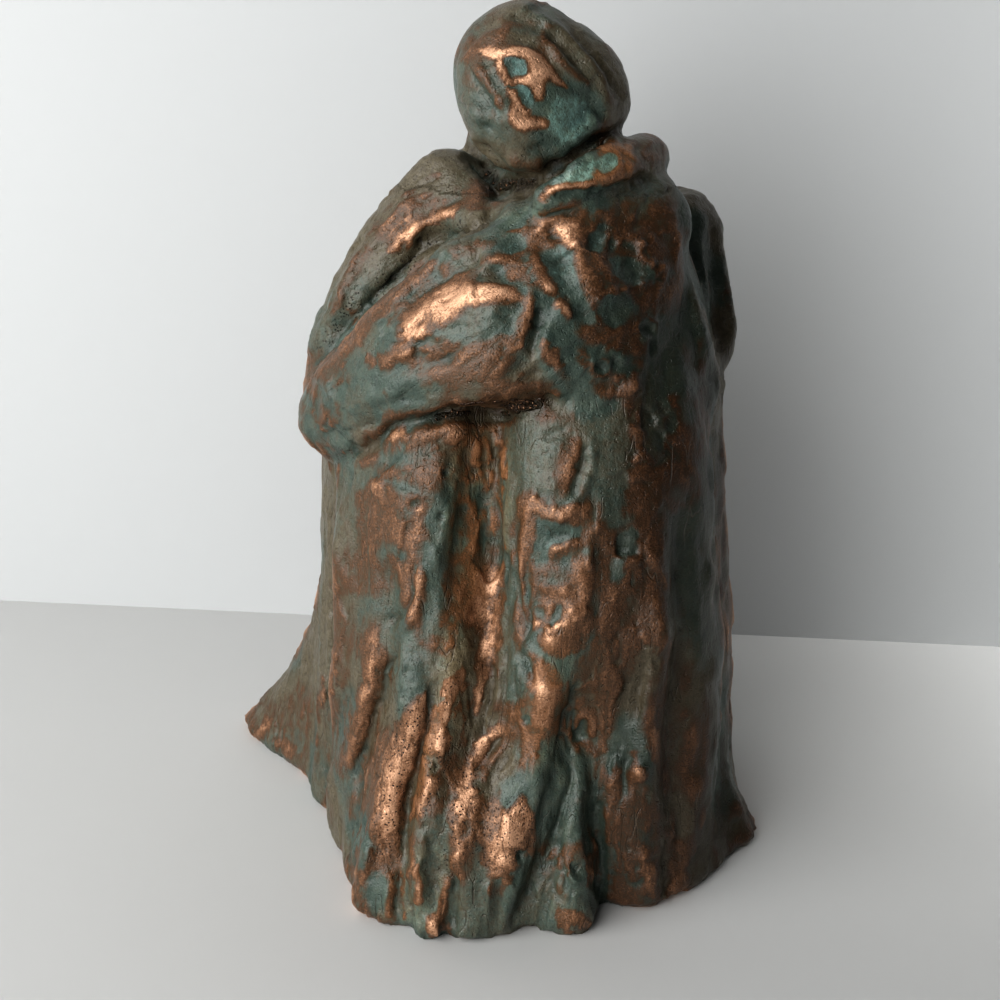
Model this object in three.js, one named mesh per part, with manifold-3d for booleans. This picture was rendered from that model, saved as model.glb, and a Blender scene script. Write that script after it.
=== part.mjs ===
// Two robed figures in a close embrace, cast in one piece, in millimetres with +Z up.
// The photographed side faces -Y: the bowed head, the long sleeve laid across the front, the partner's
// shoulder behind it, and the folds of both robes running down to one flared hem on the table.
// Bearings turn anticlockwise seen from above: 0 is the right side (+X), 90 the far side, 270 the near side.
import * as THREE from "three";
import { mergeVertices } from "three/addons/utils/BufferGeometryUtils.js";
import Module from "manifold-3d";

const wasm = await Module();
wasm.setup();

const DEGREE = Math.PI / 180;

// Driving dimensions of the robe.
const SHOULDER_HEIGHT = 196;
const SHOULDER_DOME = 17;
const ROBE_CENTRE_X = 8;
const HEM_ROUNDING = 3;
const PLAN_SQUARENESS = 2.25;

// Reach of the robe from its centre line, as [height, reach] pairs up each of its four sides.
const RIGHT_SIDE = [[0, 70.5], [20, 67], [45, 66], [63, 65.6], [91, 62.8], [118, 60], [144, 57.5], [170, 53], [196, 45]];
const LEFT_SIDE = [[0, 70], [20, 67.5], [45, 65], [75, 63], [105, 61], [128, 60], [150, 48], [172, 35], [196, 26]];
const NEAR_SIDE = [[0, 70], [20, 66], [45, 61], [75, 55.5], [105, 50], [135, 46], [160, 38], [180, 29], [196, 24]];
const FAR_SIDE = [[0, 74], [20, 69], [45, 63], [75, 57.5], [105, 52.5], [130, 49], [160, 43], [182, 36], [196, 30]];

// Swellings of the hem, such as the trains of cloth spread on the table: bearing, reach beyond the plan,
// half width in degrees, and the height over which they fade.
const HEM_SWELLINGS = [
  { bearing: 153, reach: 22, halfWidth: 8, height: 28 },
  { bearing: 150, reach: 30, halfWidth: 17, height: 85 },
  { bearing: 202, reach: -6, halfWidth: 14, height: 60 },
  { bearing: 244, reach: 9, halfWidth: 16, height: 40 },
  { bearing: 297, reach: -8, halfWidth: 11, height: 40 },
  { bearing: 346, reach: 11, halfWidth: 10, height: 14 },
  { bearing: 62, reach: 5, halfWidth: 16, height: 45 },
  { bearing: 100, reach: -4, halfWidth: 14, height: 50 },
];

// Folds of the robe: a path of [height, bearing], half width and raise in millimetres (grooves are negative).
const FOLDS = [
  { name: "hollow under the sleeve", path: [[158, 254], [128, 254], [96, 255], [56, 256]], halfWidth: 9, raise: -12 },
  { name: "left hip", path: [[142, 235], [104, 234], [80, 233]], halfWidth: 12, raise: 3.5 },
  { name: "right panel", path: [[186, 306], [142, 304], [96, 300]], halfWidth: 21, raise: 7 },
  { name: "right hip", path: [[144, 278], [104, 277], [84, 276]], halfWidth: 10, raise: 3 },
  { name: "left crack", path: [[100, 228], [70, 227], [38, 218]], halfWidth: 4, raise: -4.5 },
  { name: "first ridge", path: [[68, 240], [35, 233], [6, 229]], halfWidth: 5, raise: 4.5 },
  { name: "groove beside it", path: [[70, 244], [36, 238], [4, 242]], halfWidth: 4, raise: -4.5 },
  { name: "second ridge", path: [[78, 249], [54, 246], [20, 245]], halfWidth: 5, raise: 4.5 },
  { name: "third ridge", path: [[84, 259], [58, 257], [24, 252]], halfWidth: 4.5, raise: 4 },
  { name: "hem tuck", path: [[26, 250], [2, 250]], halfWidth: 3.5, raise: -4 },
  { name: "lump near the hem", path: [[42, 267], [20, 264]], halfWidth: 7, raise: 4 },
  { name: "lump above it", path: [[84, 274], [58, 272]], halfWidth: 7, raise: 3 },
  { name: "slanting crack", path: [[66, 281], [36, 280], [26, 275], [2, 270]], halfWidth: 4, raise: -4.5 },
  { name: "lobe before the notch", path: [[40, 283], [2, 284]], halfWidth: 6, raise: 3.5 },
  { name: "notch", path: [[62, 288], [30, 290], [0, 293]], halfWidth: 5, raise: -5.5 },
  { name: "right ridge", path: [[92, 307], [45, 303], [6, 303]], halfWidth: 6, raise: 3.5 },
  { name: "right groove", path: [[120, 317], [60, 313], [8, 311]], halfWidth: 5, raise: -3 },
  { name: "right edge", path: [[150, 324], [100, 326], [30, 320]], halfWidth: 8, raise: 2.5 },
  { name: "right side groove", path: [[140, 345], [70, 347], [14, 335]], halfWidth: 6, raise: -3.5 },
  { name: "back fold", path: [[150, 6], [80, 4], [4, 2]], halfWidth: 8, raise: 3.5 },
  { name: "back groove", path: [[140, 22], [70, 20], [4, 22]], halfWidth: 6, raise: -5 },
  { name: "far right ridge", path: [[128, 38], [60, 40], [4, 44]], halfWidth: 8, raise: 4.5 },
  { name: "far right groove", path: [[120, 57], [55, 55], [4, 52]], halfWidth: 6, raise: -5.5 },
  { name: "far ridge", path: [[110, 72], [50, 70], [4, 66]], halfWidth: 6, raise: 4.5 },
  { name: "far hollow", path: [[146, 98], [100, 98], [50, 100], [4, 102]], halfWidth: 8, raise: -9 },
  { name: "far left ridge", path: [[130, 118], [60, 116], [4, 112]], halfWidth: 8, raise: 5 },
  { name: "far left groove", path: [[100, 134], [50, 130], [4, 127]], halfWidth: 6, raise: -5 },
  { name: "train groove", path: [[96, 150], [50, 144], [8, 142]], halfWidth: 6, raise: -4.5 },
  { name: "left side ridge", path: [[128, 172], [70, 176], [10, 180]], halfWidth: 7, raise: 3 },
  { name: "left side groove", path: [[120, 190], [60, 190], [8, 187]], halfWidth: 6, raise: -3.5 },
  { name: "left front ridge", path: [[110, 205], [60, 204], [10, 200]], halfWidth: 7, raise: 3 },
  { name: "cloak edge", path: [[196, 336], [176, 337], [154, 343]], halfWidth: 5, raise: 3 },
];
const FOLD_END_FADE = 9;

// Arms, shoulders and necks inside the cloth: stations of [x, y, z, radius] in the robe's own frame.
const MASSES = [
  { name: "near sleeve, upper edge", stations: [[20, -23, 199, 13], [0, -28, 191, 12.5], [-24, -24, 173, 11.5], [-45, -9, 149, 11], [-51, -2, 141, 10.5]] },
  { name: "near sleeve, middle", stations: [[20, -31, 183, 15], [0, -35, 178, 14], [-21, -29, 167, 13], [-40, -15, 151, 11.5]] },
  { name: "near sleeve, lower edge", stations: [[18, -34, 170, 14], [1, -38, 169, 14], [-18, -32, 164, 13.5], [-36, -20, 150, 12], [-50, -4, 139, 10]] },
  { name: "near upper arm", stations: [[36, -10, 199, 17], [33, -17, 187, 18], [29, -24, 173, 17.5], [24, -29, 164, 15]] },
  { name: "partner near arm", stations: [[-15, 7, 205, 13], [-25, 6, 194, 13.5], [-38, 5, 176, 13], [-46, 7, 161, 12], [-51, 10, 145, 10.5]] },
  { name: "partner far arm", stations: [[-12, 34, 200, 15], [16, 44, 193, 15], [42, 38, 193, 14], [55, 26, 192, 13.5], [58, 22, 178, 12.5], [62, 17, 159, 12.5]] },
  { name: "far arm", stations: [[34, 26, 192, 18], [16, 38, 176, 18], [-6, 43, 164, 17], [-28, 37, 151, 15], [-42, 25, 141, 13], [-47, 16, 136, 11]] },
  { name: "nape", stations: [[16, -24, 203, 8], [29, -20, 206, 9], [36, -5, 207, 10], [37, 10, 206, 10], [30, 24, 202, 10]] },
  { name: "near neck", stations: [[30, 0, 204, 13], [22, -8, 218, 12], [12, -13, 228, 12]] },
  { name: "partner neck", stations: [[-6, 20, 199, 13], [0, 24, 208, 12], [6, 27, 217, 12]] },
];
const MASS_SOFTNESS = 1.9;

// Heads: round masses of [x, y, z, radius] flowing into each other.
const HEAD = [[4, -18, 239.5, 16.5], [16, -13, 235.5, 16.5], [6, -23, 229, 14.5], [7, -15, 244.5, 12.5], [22.5, -10, 231.5, 13]];
const PARTNER_HEAD = [[10, 29, 221, 16.5], [3, 26, 215, 13.5], [15, 34, 213, 12.5], [7, 24, 226, 12.5]];
const HEAD_SOFTNESS = 2.4;

// The collar standing at the nape, as one roll of cloth.
const COLLAR = [[11, -35, 209.5, 3.5], [24, -31, 214, 5], [33, -22, 216.5, 6], [40, -9, 217, 6.3], [42, 5, 215, 6.3], [37, 21, 212, 6], [26, 33, 208, 4]];

// Mesh density.
const COLUMNS = 118;
const CROWDED_BEARING = 255;
const CROWDING = 18;
const ROWS = [3, 10, 18, 26, 34, 42, 50, 59, 68, 79, 91, 104, 116, 126, 133, 139, 145, 151, 157, 163, 169, 175, 180];
const FAN_HEIGHT = 185;
const FAN_ROWS = 11;
const OUTER_REACH = 132;
const HEAD_SIDES = 24;
const HEAD_RINGS = 16;
const COLLAR_SIDES = 12;
const COLLAR_RINGS = 16;
const CAP_RINGS = 3;

// A smooth curve through [position, value] pairs.
function profile(pairs, position) {
  const last = pairs.length - 1;
  if (position <= pairs[0][0]) return pairs[0][1];
  if (position >= pairs[last][0]) return pairs[last][1];
  const i = pairs.findIndex(([p]) => p > position) - 1;
  const slope = (k) => {
    const [a, b] = [pairs[Math.max(k - 1, 0)], pairs[Math.min(k + 1, last)]];
    return (b[1] - a[1]) / (b[0] - a[0]);
  };
  const [p0, v0] = pairs[i];
  const [p1, v1] = pairs[i + 1];
  const span = p1 - p0;
  const t = (position - p0) / span;
  return (
    v0 * (2 * t ** 3 - 3 * t ** 2 + 1) +
    slope(i) * span * (t ** 3 - 2 * t ** 2 + t) +
    v1 * (3 * t ** 2 - 2 * t ** 3) +
    slope(i + 1) * span * (t ** 3 - t ** 2)
  );
}

// Signed turn from one bearing to another, in degrees.
function turnBetween(from, to) {
  return ((((to - from) % 360) + 540) % 360) - 180;
}

// The robe's plan at one height: four quarter ovals that share their ends.
function planRadius(bearing, height) {
  const [c, s] = [Math.cos(bearing * DEGREE), Math.sin(bearing * DEGREE)];
  const across = profile(c > 0 ? RIGHT_SIDE : LEFT_SIDE, height);
  const deep = profile(s > 0 ? FAR_SIDE : NEAR_SIDE, height);
  const n = PLAN_SQUARENESS;
  return (Math.abs(c / across) ** n + Math.abs(s / deep) ** n) ** (-1 / n);
}

function hemSwelling(bearing, height) {
  return HEM_SWELLINGS.reduce((total, swelling) => {
    const away = turnBetween(swelling.bearing, bearing) / swelling.halfWidth;
    return total + swelling.reach * Math.exp(-(away ** 2) - height / swelling.height);
  }, 0);
}

function foldRaise(fold, bearing, height, radius) {
  const [top, foot] = [fold.path[0][0], fold.path.at(-1)[0]];
  const fade = FOLD_END_FADE + 1.2 * fold.halfWidth;
  if (height > top + fade || height < foot - fade) return 0;
  const middle = profile([...fold.path].reverse(), height);
  const away = (turnBetween(middle, bearing) * DEGREE * radius) / fold.halfWidth;
  const left = 1 - Math.max(height - top, foot - height, 0) / fade;
  return fold.raise * Math.exp(-(away ** 2)) * left ** 2 * (3 - 2 * left);
}

function robeRadius(bearing, height) {
  const plain = planRadius(bearing, height) + hemSwelling(bearing, height);
  return FOLDS.reduce((radius, fold) => radius + foldRaise(fold, bearing, height, plain), plain);
}

// How deep a point lies inside a chain of balls joined by straight tapers.
function depthInChain(point, stations) {
  let deepest = -Infinity;
  for (let i = 0; i + 1 < stations.length; i++) {
    const [ax, ay, az, ar] = stations[i];
    const [bx, by, bz, br] = stations[i + 1];
    const [dx, dy, dz] = [bx - ax, by - ay, bz - az];
    const along = ((point.x - ax) * dx + (point.y - ay) * dy + (point.z - az) * dz) / (dx * dx + dy * dy + dz * dz);
    const t = Math.min(Math.max(along, 0), 1);
    const away = Math.hypot(point.x - ax - t * dx, point.y - ay - t * dy, point.z - az - t * dz);
    deepest = Math.max(deepest, ar + t * (br - ar) - away);
  }
  return deepest;
}

function depthInRobe(point) {
  const [x, y] = [point.x - ROBE_CENTRE_X, point.y];
  const across = Math.hypot(x, y);
  const reach = robeRadius(Math.atan2(y, x) / DEGREE, Math.min(point.z, SHOULDER_HEIGHT));
  if (point.z <= SHOULDER_HEIGHT) return reach - across;
  const rise = (point.z - SHOULDER_HEIGHT) / SHOULDER_DOME;
  return (1 - Math.hypot(across / reach, rise)) * SHOULDER_DOME;
}

// Depths of several shapes flowing into one another.
function blend(depths, softness) {
  return softness * Math.log(depths.reduce((total, depth) => total + Math.exp(depth / softness), 0));
}

function depthInCloth(point) {
  return blend([depthInRobe(point), ...MASSES.map(({ stations }) => depthInChain(point, stations))], MASS_SOFTNESS);
}

function depthInHead(point, masses) {
  const depths = masses.map(([x, y, z, radius]) => radius - Math.hypot(point.x - x, point.y - y, point.z - z));
  return blend(depths, HEAD_SOFTNESS);
}

// The outermost surface point along a ray, found from outside inwards.
function surfacePoint(origin, way, depthAt, farthest) {
  const at = (reach) => origin.clone().addScaledVector(way, reach);
  let outside = farthest;
  while (outside > 2 && depthAt(at(outside - 2)) < 0) outside -= 2;
  let inside = Math.max(outside - 2, 0);
  for (let step = 0; step < 12; step++) {
    const middle = (inside + outside) / 2;
    if (depthAt(at(middle)) < 0) outside = middle;
    else inside = middle;
  }
  return at(inside);
}

// A closed surface from rings of points, each ring anticlockwise seen from the last end.
function closedRings(rings, start, end) {
  const count = rings[0].length;
  const positions = [...rings.flat(), start, end].flatMap((p) => [p.x, p.y, p.z]);
  const index = [];
  for (let r = 0; r + 1 < rings.length; r++)
    for (let k = 0; k < count; k++) {
      const [a, b] = [r * count + k, r * count + ((k + 1) % count)];
      const [c, d] = [b + count, a + count];
      const corner = (i) => rings[Math.floor(i / count)][i % count];
      const shorter = corner(a).distanceTo(corner(c)) < corner(b).distanceTo(corner(d));
      if (shorter) index.push(a, b, c, a, c, d);
      else index.push(a, b, d, b, c, d);
    }
  const [first, tip] = [rings.length * count, rings.length * count + 1];
  const top = (rings.length - 1) * count;
  for (let k = 0; k < count; k++) {
    const next = (k + 1) % count;
    index.push(first, next, k, tip, top + k, top + next);
  }
  const geometry = new THREE.BufferGeometry();
  geometry.setAttribute("position", new THREE.Float32BufferAttribute(positions, 3));
  geometry.setIndex(index);
  return geometry;
}

// The columns stand closer together on the side where the narrow folds are.
function columnBearing(column) {
  const even = (column / COLUMNS) * 360;
  return even - CROWDING * Math.sin((even - CROWDED_BEARING) * DEGREE);
}

// Robe, sleeves and shoulders as one skin: level rays up the body, then a fan of rays over the shoulders.
function cloth() {
  const rings = [];
  const ring = (height, rise) => {
    const origin = new THREE.Vector3(ROBE_CENTRE_X, 0, height);
    const points = [];
    for (let k = 0; k < COLUMNS; k++) {
      const bearing = columnBearing(k) * DEGREE;
      const level = Math.cos(rise);
      const way = new THREE.Vector3(level * Math.cos(bearing), level * Math.sin(bearing), Math.sin(rise));
      points.push(surfacePoint(origin, way, depthInCloth, OUTER_REACH));
    }
    rings.push(points);
  };
  for (const height of ROWS) ring(height, 0);
  for (let r = 0; r < FAN_ROWS; r++) ring(FAN_HEIGHT, (r / FAN_ROWS) * 90 * DEGREE);
  const foot = rings[0].map((p) => {
    const pulled = 1 - HEM_ROUNDING / Math.hypot(p.x - ROBE_CENTRE_X, p.y);
    return new THREE.Vector3(ROBE_CENTRE_X + (p.x - ROBE_CENTRE_X) * pulled, p.y * pulled, 0);
  });
  const bottom = new THREE.Vector3(ROBE_CENTRE_X, 0, 0);
  const crown = new THREE.Vector3(ROBE_CENTRE_X, 0, FAN_HEIGHT);
  const top = surfacePoint(crown, new THREE.Vector3(0, 0, 1), depthInCloth, OUTER_REACH);
  return closedRings([foot, ...rings], bottom, top);
}

function head(masses) {
  const [x, y, z] = masses[0];
  const centre = new THREE.Vector3(x, y, z);
  const geometry = new THREE.SphereGeometry(1, HEAD_SIDES, HEAD_RINGS);
  geometry.deleteAttribute("normal");
  geometry.deleteAttribute("uv");
  const places = geometry.getAttribute("position");
  const way = new THREE.Vector3();
  for (let i = 0; i < places.count; i++) {
    way.fromBufferAttribute(places, i).normalize();
    const place = surfacePoint(centre, way, (point) => depthInHead(point, masses), 60);
    places.setXYZ(i, place.x, place.y, place.z);
  }
  return geometry;
}

// A roll of cloth along a smooth curve through the stations, with round ends.
function roll(stations) {
  const curve = new THREE.CatmullRomCurve3(stations.map(([x, y, z]) => new THREE.Vector3(x, y, z)));
  const radii = stations.map(([, , , radius], i) => [i / (stations.length - 1), radius]);
  const frames = curve.computeFrenetFrames(COLLAR_RINGS);
  const rings = [];
  const addRing = (step, push, scale) => {
    const t = step / COLLAR_RINGS;
    const radius = profile(radii, t) * scale;
    const centre = curve.getPoint(t).addScaledVector(frames.tangents[step], push);
    const points = [];
    for (let k = 0; k < COLLAR_SIDES; k++) {
      const turn = (k / COLLAR_SIDES) * 2 * Math.PI;
      const out = frames.normals[step].clone().multiplyScalar(Math.cos(turn));
      out.addScaledVector(frames.binormals[step], Math.sin(turn));
      points.push(centre.clone().addScaledVector(out, radius));
    }
    rings.push(points);
  };
  const startRadius = stations[0][3];
  const endRadius = stations.at(-1)[3];
  for (let c = 1; c < CAP_RINGS; c++) {
    const turn = (c / CAP_RINGS) * 90 * DEGREE;
    addRing(0, -startRadius * Math.cos(turn), Math.sin(turn));
  }
  for (let step = 0; step <= COLLAR_RINGS; step++) addRing(step, 0, 1);
  for (let c = CAP_RINGS - 1; c > 0; c--) {
    const turn = (c / CAP_RINGS) * 90 * DEGREE;
    addRing(COLLAR_RINGS, endRadius * Math.cos(turn), Math.sin(turn));
  }
  const start = curve.getPoint(0).addScaledVector(frames.tangents[0], -startRadius);
  const end = curve.getPoint(1).addScaledVector(frames.tangents[COLLAR_RINGS], endRadius);
  return closedRings(rings, start, end);
}

function solid(geometry) {
  const merged = mergeVertices(geometry, 1e-3);
  return new wasm.Manifold(
    new wasm.Mesh({
      numProp: 3,
      vertProperties: new Float32Array(merged.getAttribute("position").array),
      triVerts: new Uint32Array(merged.index.array),
    }),
  );
}

function geometryOf(manifold) {
  const { vertProperties, triVerts } = manifold.getMesh();
  const geometry = new THREE.BufferGeometry();
  geometry.setAttribute("position", new THREE.Float32BufferAttribute(vertProperties, 3));
  geometry.setIndex(new THREE.BufferAttribute(triVerts, 1));
  return geometry;
}

const casting = [cloth(), roll(COLLAR), head(HEAD), head(PARTNER_HEAD)]
  .map(solid)
  .reduce((whole, next) => whole.add(next));

// The origin is the middle of the casting's plan, on the table.
const geometry = geometryOf(casting);
geometry.computeBoundingBox();
const { min, max } = geometry.boundingBox;
geometry.translate(-(min.x + max.x) / 2, -(min.y + max.y) / 2, -min.z);

const bronze = new THREE.MeshStandardMaterial({ color: 0x665c4f, roughness: 0.55, metalness: 0.6 });
const sculpture = new THREE.Mesh(geometry, bronze);
sculpture.name = "sculpture";

const part = new THREE.Group();
part.add(sculpture);
export default part;
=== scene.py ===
# %% [markdown]
# # Two robed figures in an embrace, a patinated casting
# The real object is a table statuette about 26 cm high: one casting, modelled in clay with fingers and a
# loop tool, coated with copper and then with a blue-green patina that was rubbed through on the high places.
# The imported model gives the true outline and the large folds. This lesson keeps that shape, gives it a
# finer skin, sculpts the folds, cracks, knobs and tool marks into that skin, and paints the worn finish,
# with some shade, light and highlights painted into its colour.

# %% Load the frame
import math

import bpy
import numpy as np
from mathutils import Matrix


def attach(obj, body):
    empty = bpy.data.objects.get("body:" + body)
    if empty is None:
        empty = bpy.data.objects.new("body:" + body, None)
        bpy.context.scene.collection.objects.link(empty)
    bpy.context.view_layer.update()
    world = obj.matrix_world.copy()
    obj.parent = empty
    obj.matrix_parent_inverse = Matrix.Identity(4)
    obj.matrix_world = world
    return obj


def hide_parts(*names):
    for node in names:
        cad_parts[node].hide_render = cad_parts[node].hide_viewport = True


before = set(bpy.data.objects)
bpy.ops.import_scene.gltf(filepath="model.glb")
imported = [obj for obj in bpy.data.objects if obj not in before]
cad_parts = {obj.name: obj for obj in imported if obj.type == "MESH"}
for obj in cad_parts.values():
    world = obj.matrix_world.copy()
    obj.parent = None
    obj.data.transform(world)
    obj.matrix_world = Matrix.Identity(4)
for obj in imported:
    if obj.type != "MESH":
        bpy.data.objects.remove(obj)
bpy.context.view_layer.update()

MM = 0.001

# %% [markdown]
# The camera comes first, because the sculpted marks are placed by what it sees. It stands a forearm's length
# in front of the statuette, level with its crown, and looks down by 21 degrees.

# %% Camera
IMAGE_SIZE = 1000
EYE_MM = np.array([6.89, -382.539, 258.0])
LOOK_DOWN = math.radians(21)
SENSOR = 36.0
LENS = 46.89
NEAREST_VIEW = 0.01
FOCAL_PIXELS = LENS / SENSOR * IMAGE_SIZE

camera_data = bpy.data.cameras.new("camera")
camera_data.sensor_width = SENSOR
camera_data.lens = LENS
camera_data.clip_start = NEAREST_VIEW
camera = bpy.data.objects.new("camera", camera_data)
camera.location = EYE_MM * MM
camera.rotation_euler = (math.radians(90) - LOOK_DOWN, 0, 0)
bpy.context.collection.objects.link(camera)
bpy.context.scene.camera = camera


def seen_at(points):
    """Pixel column, pixel row and depth in mm of points given in mm."""
    forward = points[:, 1] - EYE_MM[1]
    rise = points[:, 2] - EYE_MM[2]
    depth = forward * math.cos(LOOK_DOWN) - rise * math.sin(LOOK_DOWN)
    up = forward * math.sin(LOOK_DOWN) + rise * math.cos(LOOK_DOWN)
    column = IMAGE_SIZE / 2 + FOCAL_PIXELS * (points[:, 0] - EYE_MM[0]) / depth
    row = IMAGE_SIZE / 2 - FOCAL_PIXELS * up / depth
    return column, row, depth


print("focal length in pixels:", round(FOCAL_PIXELS, 1))

# %% [markdown]
# The table is a plain pale board and the backdrop a plain pale wall close behind the statuette. The wall is
# see-through from its back, so that the back of the statuette shows too.

# %% Table and backdrop
TABLE_REACH = 1.6
WALL_HEIGHT = 1.4
WALL_LEFT = (-1.6, 0.304)
WALL_RIGHT = (1.6, -0.029)
TABLE_PAINT = ("white board", (0.59, 0.59, 0.58), 0.7)
WALL_PAINT = ("white wall", (0.55, 0.56, 0.56), 0.8)
PAINT_SHINE = 0.2


def plain_material(name, colour, roughness):
    material = bpy.data.materials.new(name)
    material.use_nodes = True
    shader = material.node_tree.nodes["Principled BSDF"]
    shader.inputs["Base Color"].default_value = (*colour, 1)
    shader.inputs["Roughness"].default_value = roughness
    shader.inputs["Specular IOR Level"].default_value = PAINT_SHINE
    return material


def see_through_from_behind(material):
    """The back of the faces is left clear, and their front keeps its paint."""
    nodes = material.node_tree.nodes
    links = material.node_tree.links
    which_side = nodes.new("ShaderNodeNewGeometry").outputs["Backfacing"]
    either = nodes.new("ShaderNodeMixShader")
    links.new(which_side, either.inputs[0])
    links.new(nodes["Principled BSDF"].outputs[0], either.inputs[1])
    links.new(nodes.new("ShaderNodeBsdfTransparent").outputs[0], either.inputs[2])
    links.new(either.outputs[0], nodes["Material Output"].inputs["Surface"])
    return material


def board(name, corners, material):
    mesh = bpy.data.meshes.new(name)
    mesh.from_pydata(corners, [], [(0, 1, 2, 3)])
    mesh.materials.append(material)
    flat = bpy.data.objects.new(name, mesh)
    bpy.context.collection.objects.link(flat)
    return flat


board("table", [(-TABLE_REACH, -TABLE_REACH, 0), (TABLE_REACH, -TABLE_REACH, 0),
                (TABLE_REACH, TABLE_REACH, 0), (-TABLE_REACH, TABLE_REACH, 0)],
      plain_material(*TABLE_PAINT))
board("backdrop", [(*WALL_LEFT, 0), (*WALL_RIGHT, 0), (*WALL_RIGHT, WALL_HEIGHT), (*WALL_LEFT, WALL_HEIGHT)],
      see_through_from_behind(plain_material(*WALL_PAINT)))
print("table", 2 * TABLE_REACH, "m across, wall", WALL_HEIGHT, "m high")

# %% [markdown]
# The light is that of a room by day. A large soft window at the upper left shapes the folds, and a second
# one, further to the front, reaches into them. A ceiling lamp lights the tops, and a small lamp brightens
# the wall at the right, so that the dark side stands out. The world adds a weak cool fill, which the copper
# also mirrors. Area lights were chosen because the real shadows have soft edges.

# %% Light
LIGHTS = {
    # place, point it is aimed at, width and height in metres, watts, spread in degrees
    "window": ((-0.62, -0.56, 0.50), (0, 0, 0.13), (1.05, 1.05), 9.6, 180),
    "far window": ((-0.50, -0.95, 0.34), (0, 0, 0.12), (1.0, 0.8), 2.8, 180),
    "ceiling lamp": ((-0.35, -0.45, 1.15), (0, 0, 0.1), (0.7, 0.7), 0.9, 180),
    "wall lamp": ((0.40, 0.0, 0.55), (0.40, 0.15, 0.05), (0.3, 0.2), 0.38, 60),
}
ROOM_COLOUR = (0.9, 0.95, 1.0, 1)
ROOM_STRENGTH = 0.034


def soft_light(name, place, target, size, watts, spread):
    data = bpy.data.lights.new(name, "AREA")
    data.spread = math.radians(spread)
    data.shape = "RECTANGLE"
    data.size, data.size_y = size
    data.energy = watts
    light = bpy.data.objects.new(name, data)
    light.location = place
    way = np.array(target) - np.array(place)
    tilt = math.acos(-way[2] / np.linalg.norm(way))
    light.rotation_euler = (tilt, 0, math.atan2(way[1], way[0]) - math.pi / 2)
    bpy.context.collection.objects.link(light)


for name, settings in LIGHTS.items():
    soft_light(name, *settings)
world = bpy.data.worlds.new("room")
world.use_nodes = True
world.node_tree.nodes["Background"].inputs["Color"].default_value = ROOM_COLOUR
world.node_tree.nodes["Background"].inputs["Strength"].default_value = ROOM_STRENGTH
bpy.context.scene.world = world
bpy.context.scene.view_settings.view_transform = "Standard"
bpy.context.scene.view_settings.look = "High Contrast"
print(len(LIGHTS), "lights are set")

# %% [markdown]
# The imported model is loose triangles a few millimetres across. A copy of it is merged, and a voxel remesh
# turns it into an even skin of small squares, the way a sculpting program prepares clay.

# %% An even skin of clay
VOXEL = 1.79 * MM
MERGE_DISTANCE = 1e-5
FLAT_FOOT = 0.9
FIRST_SMOOTHING = 8

bpy.ops.object.select_all(action="DESELECT")
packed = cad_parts["sculpture"]
packed.select_set(True)
bpy.context.view_layer.objects.active = packed
bpy.ops.object.duplicate()
casting = bpy.context.view_layer.objects.active
casting.name = "embracing_figures"
bpy.ops.object.mode_set(mode="EDIT")
bpy.ops.mesh.select_all(action="SELECT")
bpy.ops.mesh.remove_doubles(threshold=MERGE_DISTANCE)
bpy.ops.object.mode_set(mode="OBJECT")
skin = casting.modifiers.new("even skin", "REMESH")
skin.mode = "VOXEL"
skin.voxel_size = VOXEL
bpy.ops.object.modifier_apply(modifier=skin.name)
mesh = casting.data
print("even skin:", len(mesh.polygons), "squares")

# %% [markdown]
# The skin is reshaped as arrays of numbers, because thousands of points move at once. These helpers read and
# write the points, and smooth them by pulling each one to the middle of its neighbours and a little back.

# %% Read, write and smooth the points
def places():
    """Vertex places in mm."""
    flat = np.empty(len(mesh.vertices) * 3)
    mesh.vertices.foreach_get("co", flat)
    return flat.reshape(-1, 3) / MM


def put(points):
    mesh.vertices.foreach_set("co", (points * MM).ravel())
    mesh.update()


def normals():
    flat = np.empty(len(mesh.vertices) * 3)
    mesh.vertex_normals.foreach_get("vector", flat)
    return flat.reshape(-1, 3)


def ends_of_edges():
    flat = np.empty(len(mesh.edges) * 2, dtype=np.int64)
    mesh.edges.foreach_get("vertices", flat)
    return flat.reshape(-1, 2)


def mean_of_neighbours(values, edges):
    """Mean over each vertex's neighbours of a value or a row of values."""
    values = values.reshape(len(mesh.vertices), -1)
    count = np.bincount(edges.ravel(), minlength=len(values))
    total = np.stack([
        np.bincount(edges[:, 0], weights=column[edges[:, 1]], minlength=len(values))
        + np.bincount(edges[:, 1], weights=column[edges[:, 0]], minlength=len(values))
        for column in values.T
    ], 1)
    return total / np.maximum(count, 1)[:, None]


def relaxed(points, edges, rounds, shrink=0.5, swell=-0.52):
    """Smooths places without shrinking the form, and leaves the foot where it stands."""
    free = (points[:, 2] > FLAT_FOOT)[:, None]
    for step in range(rounds):
        for amount in (shrink, swell):
            points = points + free * amount * (mean_of_neighbours(points, edges) - points)
    return points


points = places()
points[points[:, 2] < FLAT_FOOT, 2] = 0
put(relaxed(points, ends_of_edges(), FIRST_SMOOTHING))
print(len(points), "points smoothed")

# %% [markdown]
# A mark on the front must not press through to the cloth behind it. So this tool asks which points the
# camera can see, from the way they face and from a coarse map of the nearest depth.

# %% What the camera sees
DEPTH_CELL = 5
DEPTH_TOLERANCE = 6.0
GRAZING, FACING = 0.04, 0.3


def smooth_step(low, high, values):
    t = np.clip((values - low) / (high - low), 0, 1)
    return t * t * (3 - 2 * t)


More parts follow.
